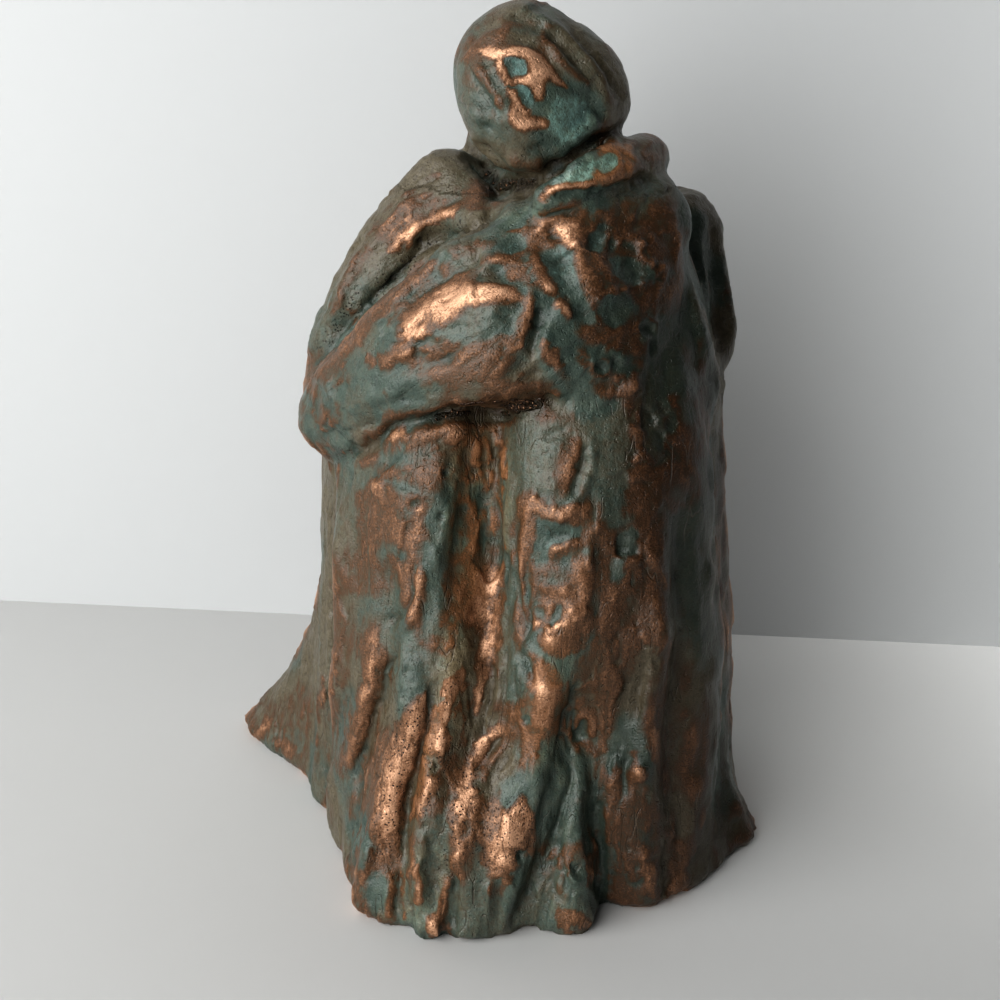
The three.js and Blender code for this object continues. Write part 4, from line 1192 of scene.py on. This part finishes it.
    "patina furrow": ("patch", 0.03, 3.5, (640, 650), (656, 648), (650, 690), (636, 740), (612, 770),
        (608, 752), (626, 700)),
    "copper streak right": ("streak", 0.64, 5, (656, 730), (664, 760), (668, 790)),
    "copper spot right": ("streak", 0.66, 4, (634, 752), (640, 780)),
    "red hem": ("streak", 0.60, 6, (564, 918), (588, 922)),
    "copper by the notch": ("streak", 0.56, 6, (594, 830), (596, 880)),
    "fold at the right": ("streak", 0.60, 5, (636, 850), (650, 876), (654, 896)),
    "right of the fold": ("streak", 0.60, 5, (676, 840), (674, 890)),
    "brown panel": ("patch", 0.42, 6, (604, 800), (630, 790), (640, 860), (640, 904), (606, 906)),
    "flare brown": ("patch", 0.40, 6, (726, 800), (752, 810), (758, 836), (726, 850)),
    # Left of the hem
    "train brown": ("patch", 0.36, 9, (256, 700), (300, 690), (345, 690), (350, 730), (320, 766),
        (282, 750)),
    "train copper": ("streak", 0.62, 4, (262, 732), (268, 722)),
    "train copper lower": ("streak", 0.62, 5, (280, 742), (290, 750)),
    "train copper upper": ("streak", 0.66, 5, (326, 700), (334, 672)),
    "brown beside the first ridge": ("patch", 0.44, 7, (380, 730), (440, 700), (424, 800), (404, 870),
        (366, 870), (362, 820), (372, 770)),
    "first ridge": ("patch", 0.66, 7, (402, 722), (428, 700), (424, 744), (414, 785), (404, 818), (398, 862),
        (370, 862), (372, 806), (380, 764), (390, 744)),
    "first ridge, bright": ("streak", 0.84, 8, (414, 728), (406, 756), (396, 798), (386, 836)),
    "first ridge, brown side": ("streak", 0.46, 6, (378, 764), (372, 800), (376, 850)),
    "first ridge, foot": ("streak", 0.60, 5, (374, 858), (362, 884)),
    "second ridge": ("streak", 0.7, 10, (458, 684), (444, 720), (438, 750)),
    "second ridge, bright": ("streak", 0.88, 5, (446, 712), (441, 730), (438, 750)),
    "second ridge, lower": ("streak", COPPER, 6, (432, 780), (424, 800), (418, 814)),
    "patina between": ("patch", 0.05, 3, (430, 756), (444, 758), (438, 774), (424, 776)),
    "brown beside the third ridge": ("patch", 0.44, 6, (500, 716), (512, 740), (490, 780), (476, 830),
        (472, 880), (446, 880), (440, 820), (452, 770), (476, 736)),
    "third ridge": ("streak", 0.72, 11, (496, 730), (478, 764), (464, 802), (454, 840), (450, 860)),
    "third ridge, bright": ("streak", 0.9, 7, (472, 776), (462, 806), (454, 836)),
    "third ridge, top": ("streak", 0.86, 5, (492, 734), (478, 746)),
    "third ridge, brown": ("streak", 0.48, 6, (458, 760), (448, 800), (466, 850), (472, 880)),
    "upper copper of the hem": ("streak", 0.86, 5, (482, 664), (479, 690), (474, 712)),
    "upper brown of the hem": ("streak", 0.5, 6, (466, 700), (462, 730), (466, 744)),
    "foot ridge": ("streak", 0.66, 3.5, (391, 870), (390, 914)),
    "foot brown": ("streak", 0.46, 6, (400, 870), (402, 915)),
    "groove edge": ("streak", 0.66, 3.5, (414, 866), (418, 900)),
    "bright hem edge": ("streak", 0.86, 3.5, (448, 878), (444, 908)),
    "hem lump": ("patch", 0.72, 3, (432, 918), (446, 914), (446, 934), (434, 938)),
    "patina of the left foot": ("patch", 0.02, 4, (350, 826), (366, 816), (370, 850), (358, 868),
        (346, 850)),
    "patina beside it": ("patch", 0.02, 4, (362, 890), (388, 880), (386, 914), (366, 902)),
    "patina between grooves": ("patch", 0.03, 5, (420, 820), (446, 820), (446, 880), (428, 912),
        (418, 880)),
    "patina at the hem": ("patch", 0.03, 5, (470, 868), (494, 868), (492, 936), (458, 938), (462, 900)),
    "centre copper": ("patch", 0.55, 6, (532, 654), (552, 668), (560, 696), (560, 722), (544, 748),
        (526, 778), (520, 748), (508, 716), (502, 706), (522, 698), (530, 676)),
    "centre bright": ("streak", 0.72, 6, (536, 676), (542, 700), (540, 716)),
    "hole in it": ("patch", 0.03, 2, (522, 716), (530, 711), (533, 722), (527, 729)),
    "patina left of it": ("patch", 0.02, 3, (504, 672), (520, 668), (522, 692), (506, 700)),
    "hem copper": ("patch", 0.84, 5, (498, 812), (524, 800), (532, 830), (528, 850), (508, 866), (490, 872),
        (482, 856), (492, 836)),
    "speckles beside it": ("patch", 0.68, 5, (476, 812), (500, 796), (500, 826), (480, 842)),
    "hem copper, foot": ("streak", 0.60, 6, (506, 864), (500, 890)),
    "blue patch": ("patch", PATINA, 3, (500, 796), (514, 784), (518, 800), (504, 810)),
    "hole at the hem": ("patch", PATINA, 2.5, (514, 850), (524, 850), (526, 862), (516, 862)),
}
print(len(WEAR_AND_HIGHLIGHTS), "patches and streaks of wear")

# %% [markdown]
# Where the patina is whole, it is clearer blue-green in some places, with a level near 1 or above, and dull
# grey-brown in others, with a level near 0.

# %% Clear and dull patina
VERDIGRIS = {
    "head": ("patch", 0.55, 14, (545, 80), (600, 95), (600, 130), (560, 165), (505, 150), (530, 105)),
    "arch of the head": ("patch", 1.9, 6, (500, 50), (532, 56), (538, 100), (530, 116), (512, 90)),
    "hair": ("patch", 0.25, 10, (552, 20), (600, 60), (625, 110), (600, 100), (560, 60)),
    "left of the head": ("patch", 0.8, 10, (460, 60), (500, 70), (510, 130), (480, 140), (460, 110)),
    "neck": ("patch", 0.1, 10, (470, 140), (545, 185), (500, 215), (480, 190)),
    "pools of the shoulder": ("patch", 1.4, 8, (500, 225), (560, 240), (600, 225), (662, 255), (660, 345),
        (640, 380), (600, 420), (560, 400), (530, 340), (500, 260)),
    "collar": ("patch", 1.5, 6, (540, 195), (556, 170), (594, 150), (620, 142), (630, 170), (600, 190)),
    "right of the head patch": ("patch", 1.7, 8, (548, 92), (580, 90), (600, 110), (590, 140), (560, 150),
        (540, 130)),
    "rear shoulder": ("patch", 0.15, 14, (380, 180), (465, 145), (480, 190), (440, 215), (400, 200)),
    "rear sleeve": ("patch", 0.45, 10, (320, 340), (350, 290), (400, 258), (440, 222), (470, 225),
        (380, 292), (320, 360)),
    "outer rear sleeve": ("patch", 0.2, 10, (306, 360), (330, 270), (380, 200), (395, 215), (350, 290),
        (320, 340)),
    "shoulder band": ("patch", 0.85, 8, (500, 214), (545, 200), (600, 198), (662, 178), (650, 210),
        (600, 212), (510, 230)),
    "sleeve": ("patch", 0.85, 12, (380, 330), (440, 320), (520, 310), (520, 360), (440, 400), (340, 430),
        (310, 400)),
    "robe left": ("patch", 0.7, 14, (330, 470), (460, 470), (450, 600), (400, 700), (350, 640), (350, 560)),
    "outer left": ("patch", 0.12, 14, (320, 470), (345, 500), (350, 600), (330, 760), (380, 880), (300, 780),
        (250, 720), (310, 640)),
    "hem left": ("patch", 0.6, 10, (345, 820), (450, 800), (500, 860), (500, 940), (400, 930)),
    "centre": ("patch", 0.6, 12, (505, 420), (620, 420), (620, 520), (520, 660), (600, 740), (540, 760),
        (505, 690)),
    "right panel": ("patch", 0.7, 12, (540, 760), (600, 740), (600, 910), (510, 935)),
    "dark right": ("patch", 0.8, 12, (645, 320), (700, 320), (716, 560), (710, 670), (670, 600),
        (650, 450)),
    "far right": ("patch", 0.3, 12, (690, 680), (730, 700), (750, 840), (680, 900), (670, 800)),
    "blue patch at the hem": ("patch", 1.3, 6, (494, 800), (514, 778), (524, 800), (506, 816)),
    "patch in the frame": ("patch", 1.4, 6, (538, 522), (574, 522), (578, 542), (540, 560)),
    "foot patches": ("patch", 1.3, 8, (345, 820), (372, 816), (390, 900), (364, 905)),
}
print(len(VERDIGRIS), "patches of patina")

# %% [markdown]
# Three more things lie only in some places. Pinholes pepper the rubbed ridges. A dark wash paints shade on
# the right side and in the deep hollows, where the surface is crumbly and dark wax lies too. A pale wash
# paints light onto the patina of the hem and of other places in shade.

# %% Pinholes, painted shade and painted light
PINHOLED = {
    "rear sleeve": ("patch", 1.0, 5, (320, 350), (345, 300), (375, 282), (410, 256), (440, 224), (460, 224),
        (400, 280), (330, 350)),
    "first ridge": ("patch", 1.0, 5, (394, 712), (424, 714), (410, 780), (394, 850), (376, 850),
        (388, 750)),
    "second ridge": ("patch", 1.0, 5, (455, 685), (430, 760), (412, 815), (424, 815), (446, 770)),
    "third ridge": ("patch", 1.0, 5, (480, 770), (462, 780), (444, 860), (456, 860), (474, 800)),
    "hem copper": ("patch", 0.7, 5, (476, 812), (524, 800), (532, 840), (500, 870), (480, 860)),
    "train": ("patch", 0.8, 4, (322, 700), (330, 670), (338, 672), (332, 704)),
}
# Painted shade: a dark wash over the right side, which faces away from the window, and over the crevices
# under the head and the sleeve, where dark wax lies as well.
WAX_AND_PAINTED_SHADE = {
    "right of the back": ("patch", 0.62, 24, (610, 215), (680, 200), (700, 330), (660, 420), (670, 640),
        (690, 700), (690, 880), (610, 900), (600, 640), (620, 420), (600, 330)),
    "right side": ("patch", 0.74, 20, (690, 180), (745, 200), (750, 400), (745, 700), (780, 880), (690, 910),
        (684, 760), (690, 640), (640, 560), (632, 430), (650, 320), (700, 300)),
    "edge of the dark plane": ("patch", 0.74, 10, (676, 400), (706, 400), (712, 560), (692, 560),
        (674, 500)),
    "neck": ("patch", 0.95, 8, (466, 145), (492, 166), (520, 174), (548, 176), (530, 190), (492, 196),
        (478, 172)),
    "under the head": ("streak", 0.95, 6, (548, 176), (572, 158), (600, 138), (626, 132)),
    "right of the head": ("patch", 0.5, 12, (570, 20), (600, 50), (640, 110), (620, 130), (596, 90)),
    "under the sleeve": ("streak", 0.95, 8, (440, 418), (480, 408), (540, 406)),
}
# Painted light: a pale wash over places that the folds around them keep in shade, such as the trough, the
# flank of the flow and the hem between the ridges.
PAINTED_LIGHT = {
    "right panel of the hem": ("patch", 0.22, 12, (548, 750), (600, 740), (602, 905), (540, 925), (520, 900),
        (545, 830)),
    "hem, between the ridges": ("patch", 0.55, 8, (436, 690), (452, 700), (430, 780), (412, 830), (404, 810),
        (420, 740)),
    "foot of the hem": ("patch", 0.4, 9, (384, 860), (446, 840), (450, 920), (400, 930), (380, 910)),
    "flank of the flow": ("patch", 0.5, 9, (450, 590), (474, 600), (470, 680), (462, 740), (440, 740),
        (436, 660)),
    "centre of the hem": ("patch", 0.45, 12, (536, 650), (590, 650), (600, 760), (540, 775), (528, 720)),
    "trough": ("patch", 0.7, 8, (462, 430), (502, 430), (496, 560), (470, 600), (454, 540)),
    "right of the head": ("patch", 0.35, 10, (545, 85), (600, 95), (604, 130), (560, 150), (540, 120)),
    "collar": ("patch", 0.6, 8, (545, 190), (560, 165), (620, 145), (628, 165), (600, 188)),
    "neck of the robe": ("patch", 0.5, 12, (490, 212), (560, 200), (640, 190), (640, 204), (560, 216),
        (510, 228)),
}
print(len(PINHOLED), "patches of pinholes,", len(WAX_AND_PAINTED_SHADE), "of wax,", len(PAINTED_LIGHT), "of chalk")

# %% [markdown]
# How far the skin bulges says what a hand rubs and where shade is painted into the hollows. It is measured
# from the middle of the surroundings of each point, once over a few squares and once over the breadth of a
# fold.

# %% Ridges and hollows
FINE_ROUNDS, BROAD_ROUNDS = 3, 24
FULL_GRIT, FULL_RIDGE = 0.14, 0.8
MOST_BEND = 1.5


def bulge(points, rounds):
    """Mean bend of the skin in mm over a wider and wider patch: positive on ridges, negative in hollows."""
    put(points)
    out = normals()
    wide = points
    for step in range(rounds):
        wide = mean_of_neighbours(wide, edges)
    return ((points - wide) * out).sum(1)


share, column, row, scale = front_view(points)
ridge = np.clip(bulge(points, BROAD_ROUNDS) / FULL_RIDGE, -MOST_BEND, MOST_BEND)
grit = np.clip(bulge(points, FINE_ROUNDS) / FULL_GRIT, -MOST_BEND, MOST_BEND)
print("points on ridges:", int((ridge > 1).sum()), "and in hollows:", int((ridge < -1).sum()))

# %% [markdown]
# On the sides that were never seen the wear follows the form: high folds are rubbed to copper, and long
# brown runs come from noise drawn out down the robe. Under the painted layers of the front lies a quieter
# base. The edges of the layers fray with uneven noise, and small bare spots open in them, fewer on the head.

# %% Wear
LEAST_WEAR, MOST_WEAR = 0.06, 1.1
MOST_FREE_WEAR = 0.68

runs = dragged(points, size=17.0, seed=71)
blotches = rough_noise(points, size=13.0, seed=75)
free_wear = LEAST_WEAR + smooth_step(0.44, 0.62, 0.55 * runs + 0.45 * blotches) * 0.42
free_wear += smooth_step(0.2, 1.1, ridge) * 0.26 * smooth_step(0.46, 0.58, runs)
free_wear = np.minimum(free_wear, MOST_FREE_WEAR) * (1 - 0.35 * above(points, ARMPIT, SHOULDER))
under_wear = LEAST_WEAR + 0.34 * smooth_step(0.46, 0.62, 0.5 * runs + 0.5 * blotches)
wear_and_highlight = free_wear * (1 - share) + under_wear * share

frayed = dragged(points, size=5.0, seed=101)
uneven = 1.6 * (0.5 * frayed + 0.5 * rough_noise(points, size=4.0, seed=105) - 0.5)
uneven += 0.7 * (rough_noise(points, size=2.2, seed=109, layers=2) - 0.5)
bare_spots = smooth_step(0.52, 0.66, rough_noise(points, size=5.0, seed=111))
on_head = above(points, JAW, CHIN)
uneven *= 1 - 0.45 * on_head
bare_spots *= 1 - 0.7 * on_head
wear_and_highlight *= 1 - 0.35 * on_head * share


def laid(layers, under, weight, bare_spots):
    """The layers of the front over the value that lies under them."""
    return painted(under, layers, column, row, weight, uneven, bare_spots)


wear_and_highlight = laid(WEAR_AND_HIGHLIGHTS, wear_and_highlight, share, bare_spots)
wear_and_highlight += (0.08 * ridge + 0.07 * grit) * smooth_step(-0.1, 0.4, wear_and_highlight)
wear_and_highlight = np.clip(wear_and_highlight, 0, MOST_WEAR)
print("mean wear", round(float(wear_and_highlight.mean()), 2))

# %% [markdown]
# Patina, pinholes and painted shade are laid in the same way. One value carries both painted shade and
# painted
# light: above 0 it is how dark the painted shade and the wax in a hollow are, and below 0 how pale the
# painted light is.

# %% Patina, pinholes, painted shade and painted light
FRONT_GREEN, MOST_GREEN = 0.8, 1.6
CREASE_SHADE, MOST_HOLLOW_SHADE = 0.42, 0.5
nothing = np.zeros(len(points))

free_green = smooth_step(0.40, 0.60, rough_noise(stretched(points, UPRIGHT, 2.0), size=20.0, seed=81))
green = laid(VERDIGRIS, free_green * FRONT_GREEN, share * FRONT_GREEN, bare_spots)
pin_noise = rough_noise(points, size=18.0, seed=91, layers=2)
free_pinholes = smooth_step(0.60, 0.72, pin_noise) * 0.6 * (1 - share)
pinholes = laid(PINHOLED, free_pinholes, share, bare_spots)
# Painted shade: the hollows of the skin and the creases of the marks are darkened, with the dark wax in
# them.
hollow = np.clip(-0.30 * ridge - 0.2 * grit, 0, MOST_HOLLOW_SHADE)
hollow = np.maximum(hollow, CREASE_SHADE * cut)
hollow = np.maximum(hollow, laid(WAX_AND_PAINTED_SHADE, nothing, share, nothing))
# Painted light goes in below zero.
hollow -= laid(PAINTED_LIGHT, nothing, share, nothing)
print("mean green", round(float(green.mean()), 2), "and mean dirt", round(float(hollow.mean()), 2))

# %% [markdown]
# The values are stored on the mesh, where the material can read them. With them go two drawn-out copies of
# each place, one for the robe and one for the sleeves and hair, so that the fine grain follows the cloth.

# %% Store the values
GRAIN_STRETCH = 5.0


def store(name, values):
    attribute = mesh.attributes.new(name, "FLOAT", "POINT")
    attribute.data.foreach_set("value", values.astype(np.float32))


def store_places(name, places):
    attribute = mesh.attributes.new(name, "FLOAT_VECTOR", "POINT")
    attribute.data.foreach_set("vector", (places * MM).astype(np.float32).ravel())


put(points)
on_hair = points[:, 2] > JAW + 6 * rough_noise(points, size=9.0, seed=75, layers=1)
over_robe = smooth_step(-8, 8, points[:, 2] - ARMPIT - 0.2 * points[:, 0] + 0.15 * points[:, 1])
store_places("robe_place", stretched(points, UPRIGHT, GRAIN_STRETCH))
store_places("upper_place", np.where(on_hair[:, None], stretched(points, HAIR_WAY, GRAIN_STRETCH),
                                     stretched(points, SLEEVE_WAY, GRAIN_STRETCH)))
store("upper_share", over_robe)
store("wear_and_highlight", wear_and_highlight)
store("verdigris", np.clip(green, 0, MOST_GREEN))
store("pinholes", np.clip(pinholes, 0, 1))
store("hollow", hollow)
print("stored on the mesh:", [name for name in mesh.attributes.keys() if not name.startswith(".")])

# %% [markdown]
# The material is built from nodes. Each of these helpers adds one kind of node and gives its output, so that
# the finish below reads like sums.

# %% Helpers for the material
def srgb(red, green_part, blue):
    """A colour given as picture values from 0 to 255, in Blender's linear scale."""
    def linear(value):
        value = value / 255
        return value / 12.92 if value <= 0.04045 else ((value + 0.055) / 1.055) ** 2.4
    return (linear(red), linear(green_part), linear(blue), 1.0)


bronze = bpy.data.materials.new("patinated bronze")
bronze.use_nodes = True
nodes = bronze.node_tree.nodes
links = bronze.node_tree.links
shader = nodes["Principled BSDF"]
position = nodes.new("ShaderNodeTexCoord").outputs["Object"]


def plug(socket, value):
    if isinstance(value, bpy.types.NodeSocket):
        links.new(value, socket)
    else:
        socket.default_value = value


def stored(name, output="Fac"):
    node = nodes.new("ShaderNodeAttribute")
    node.attribute_name = name
    return node.outputs[output]


def maths(operation, *values):
    node = nodes.new("ShaderNodeMath")
    node.operation = operation
    for socket, value in zip(node.inputs, values):
        plug(socket, value)
    return node.outputs[0]


def around_zero(value, span):
    """A value from 0 to 1 made to swing evenly around zero over the given span."""
    return maths("MULTIPLY_ADD", value, span, -span / 2)


def ranged(value, low, high, to_low=0.0, to_high=1.0):
    node = nodes.new("ShaderNodeMapRange")
    node.interpolation_type = "SMOOTHSTEP"
    for socket, setting in zip(node.inputs, (value, low, high, to_low, to_high)):
        plug(socket, setting)
    return node.outputs[0]


def coloured(factor, stops):
    node = nodes.new("ShaderNodeValToRGB")
    links.new(factor, node.inputs["Fac"])
    ramp = node.color_ramp
    while len(ramp.elements) < len(stops):
        ramp.elements.new(0.5)
    for element, (place, colour) in zip(ramp.elements, stops):
        element.position = place
        element.color = colour
    return node.outputs["Color"]


def mixed(factor, first, second, blend="MIX"):
    """A mix of two colours, whose sockets are found by number because the node has four kinds of each."""
    node = nodes.new("ShaderNodeMix")
    node.data_type = "RGBA"
    node.blend_type = blend
    plug(node.inputs["Factor"], factor)
    plug(node.inputs[6], first)
    plug(node.inputs[7], second)
    return node.outputs[2]


def raised(height, strength, distance_mm, below=None):
    node = nodes.new("ShaderNodeBump")
    node.inputs["Strength"].default_value = strength
    node.inputs["Distance"].default_value = distance_mm * MM
    links.new(height, node.inputs["Height"])
    if below is not None:
        links.new(below, node.inputs["Normal"])
    return node.outputs["Normal"]


print("helpers for the material are ready")

# %% [markdown]
# Noise inside the material has to be finer than the mesh. Plain noise serves for specks and ragged borders,
# and noise drawn out along the cloth for the grain that the brush left.

# %% Noise of the material
upper_share = stored("upper_share")


def grainy(size_mm, detail=3.0, rough=0.6, where=None):
    """Noise from 0 to 1 with features of the given size in mm."""
    node = nodes.new("ShaderNodeTexNoise")
    links.new(where or position, node.inputs["Vector"])
    node.inputs["Scale"].default_value = 1 / (size_mm * MM)
    node.inputs["Detail"].default_value = detail
    node.inputs["Roughness"].default_value = rough
    return node.outputs["Fac"]


def dragged_grain(size_mm, detail=3.0, rough=0.6):
    """Noise drawn out down the robe, and along the sleeves and the hair above it."""
    node = nodes.new("ShaderNodeMix")
    plug(node.inputs[0], upper_share)
    for socket, name in ((node.inputs[2], "robe_place"), (node.inputs[3], "upper_place")):
        plug(socket, grainy(size_mm, detail, rough, stored(name, "Vector")))
    return node.outputs[0]


ragged = grainy(5.0, 4.0, 0.65)
fine = grainy(1.3, 3.0, 0.65)
speckle = grainy(0.55, 2.0, 0.6)
crumbs = grainy(1.1, 2.0, 0.6)
brushed = dragged_grain(1.9)
print("noise nodes:", len([node for node in nodes if node.type == "TEX_NOISE"]))

# %% [markdown]
# The painted wear is broken up by that noise, so that each border is ragged down to a millimetre. In the
# crumbly hollows single copper flecks shine through.

# %% Broken-up wear
FLECK_WEAR = 0.8

wax_shade_and_light = stored("hollow")
frayed_edge = maths("ADD", around_zero(ragged, 0.36), around_zero(fine, 0.24))
worn_and_highlit = maths("ADD", maths("ADD", stored("wear_and_highlight"), frayed_edge), around_zero(brushed, 0.40))
worn_and_highlit = maths("ADD", worn_and_highlit, maths("MULTIPLY", ranged(worn_and_highlit, 0.30, 0.48), around_zero(speckle, 0.6)))
crumbly = ranged(wax_shade_and_light, 0.76, 0.86)
flecks = maths("MULTIPLY", crumbly, ranged(crumbs, 0.56, 0.63))
worn_and_highlit = maths("MULTIPLY_ADD", flecks, FLECK_WEAR, worn_and_highlit)
print("wear is broken up with", len(nodes), "nodes so far")

# %% [markdown]
# Patina is an opaque paint of two mixed greens, and pale where it pools. Brown is a thin dark film that gets
# thinner with wear, until the bare copper shows at the end of the scale. The palest end of the scale is
# copper with a painted highlight.

# %% Patina, brown and copper
POOLED_PATINA = srgb(112, 140, 135)
PAINTED_LIGHT_TINT = (2.1, 2.0, 1.85, 1)

clear_patina = coloured(ragged, [(0.25, srgb(60, 73, 67)), (0.5, srgb(77, 89, 81)),
                                 (0.8, srgb(94, 103, 92))])
dull_patina = coloured(fine, [(0.25, srgb(78, 71, 57)), (0.5, srgb(97, 90, 74)),
                              (0.8, srgb(113, 105, 88))])
green_value = maths("ADD", stored("verdigris"), around_zero(fine, 0.9))
patina = mixed(ranged(green_value, 0.15, 0.85), dull_patina, clear_patina)
patina = mixed(ranged(green_value, 1.15, 1.75), patina, POOLED_PATINA)
# The top stops of the film are copper with a painted highlight.
film = coloured(worn_and_highlit, [(0.0, srgb(92, 80, 64)), (0.30, srgb(84, 67, 49)), (0.45, srgb(90, 66, 46)),
                       (0.56, srgb(107, 79, 57)), (0.72, srgb(140, 106, 81)), (0.86, srgb(182, 143, 115)),
                       (1.0, srgb(206, 165, 136))])
surface = mixed(ranged(worn_and_highlit, 0.14, 0.44), patina, film)
# Painted light: where the stored value is below zero, patina and brown are paled.
painted_light = maths("MULTIPLY", ranged(wax_shade_and_light, -0.8, 0.0, 1.0, 0.0), ranged(worn_and_highlit, 0.5, 0.8, 1.0, 0.0))
surface = mixed(painted_light, surface, PAINTED_LIGHT_TINT, "MULTIPLY")
print("patina, film and chalk are mixed")

# %% [markdown]
# Painted shade darkens the hollows, the right side and the crevices under the head and the sleeve, together
# with the dark wax there, but leaves the flecks bright. Pinholes are round and nearly black, hair cracks run
# along the cloth, and a fine speckle, dark and light, goes over everything.

# %% Painted shade, pinholes and hair cracks
WAX_AND_SHADE_TINT = (0.26, 0.22, 0.17, 1)
PIN_SPACING = 1.2 * MM
PIN_COLOUR = srgb(24, 18, 14)
CRACK_COLOUR = (0.10, 0.08, 0.06, 1)
DARK_SPECK, LIGHT_SPECK = (0.40, 0.38, 0.35, 1), (0.9, 0.9, 0.85, 1)

# Painted shade: the stored value above zero darkens the colour toward a dark tint.
off_flecks = maths("MULTIPLY_ADD", flecks, -0.8, 1.0)
wax_and_shade = maths("MULTIPLY", ranged(wax_shade_and_light, 0.20, 0.9, 0.0, 0.80), off_flecks)
surface = mixed(wax_and_shade, surface, WAX_AND_SHADE_TINT, "MULTIPLY")
pin_cells = nodes.new("ShaderNodeTexVoronoi")
links.new(position, pin_cells.inputs["Vector"])
pin_cells.inputs["Scale"].default_value = 1 / PIN_SPACING
pin = maths("MULTIPLY", ranged(pin_cells.outputs["Distance"], 0.17, 0.26, 1.0, 0.0), stored("pinholes"))
surface = mixed(pin, surface, PIN_COLOUR)
off_line = maths("ABSOLUTE", maths("SUBTRACT", dragged_grain(4.5, 1.2, 0.5), 0.5))
crack = maths("MULTIPLY", ranged(off_line, 0.0, 0.018, 1.0, 0.0), ranged(grainy(11.0, 2.0, 0.5), 0.50, 0.62))
crack = maths("MULTIPLY", crack, maths("MULTIPLY_ADD", upper_share, -0.7, 1.0))
surface = mixed(maths("MULTIPLY", crack, 0.5), surface, CRACK_COLOUR)
surface = mixed(ranged(speckle, 0.26, 0.50, 0.5, 0.0), surface, DARK_SPECK, "MULTIPLY")
surface = mixed(ranged(speckle, 0.52, 0.74, 0.0, 0.22), surface, LIGHT_SPECK, "SOFT_LIGHT")
links.new(surface, shader.inputs["Base Color"])
print("colour is done after", len(nodes), "nodes")

# %% [markdown]
# The copper is real metal where it is bare, though never a full mirror, so that its painted highlight shows
# from every side, and a pinhole holds none. The whole surface is satin, and bare copper a little rougher
# than the waxed patina, because it was brushed.

# %% Metal and gloss
metal = maths("MULTIPLY", ranged(worn_and_highlit, 0.54, 0.95, 0.0, 0.5), maths("SUBTRACT", 1.0, pin))
links.new(metal, shader.inputs["Metallic"])
satin = ranged(worn_and_highlit, 0.25, 0.85, 0.34, 0.42)
links.new(maths("ADD", satin, around_zero(fine, 0.2)), shader.inputs["Roughness"])
print("metal and gloss are linked")

# %% [markdown]
# Folds, cracks, knobs and dabs are all in the mesh. Bump only adds texture that is too fine for its squares:
# the brushed grain with its hair cracks, the crumbs of the deep hollows, and pores and pinholes.

# %% Fine relief
wrinkle = maths("ABSOLUTE", maths("SUBTRACT", dragged_grain(2.6, 2.0, 0.5), 0.5))
grain = maths("ADD", maths("MULTIPLY", brushed, 0.45), maths("MULTIPLY", fine, 0.25))
grain = maths("MULTIPLY_ADD", wrinkle, 0.35, grain)
grain = maths("SUBTRACT", grain, maths("MULTIPLY", crack, 0.35))
normal = raised(grain, strength=0.8, distance_mm=0.7)
normal = raised(maths("MULTIPLY", crumbly, crumbs), strength=1.0, distance_mm=2.2, below=normal)
pores = ranged(grainy(1.4, 1.0, 0.5), 0.28, 0.36, 0.9, 0.0)
tiny = maths("SUBTRACT", maths("SUBTRACT", speckle, pores), maths("MULTIPLY", pin, 2.5))
normal = raised(tiny, strength=0.8, distance_mm=0.22, below=normal)
links.new(normal, shader.inputs["Normal"])

mesh.materials.clear()
mesh.materials.append(bronze)
mesh.polygons.foreach_set("use_smooth", np.ones(len(mesh.polygons), dtype=bool))
mesh.update()
print("finish is laid with", len(nodes), "nodes")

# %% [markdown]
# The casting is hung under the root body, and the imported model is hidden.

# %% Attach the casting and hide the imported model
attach(casting, "root")
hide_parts("sculpture")
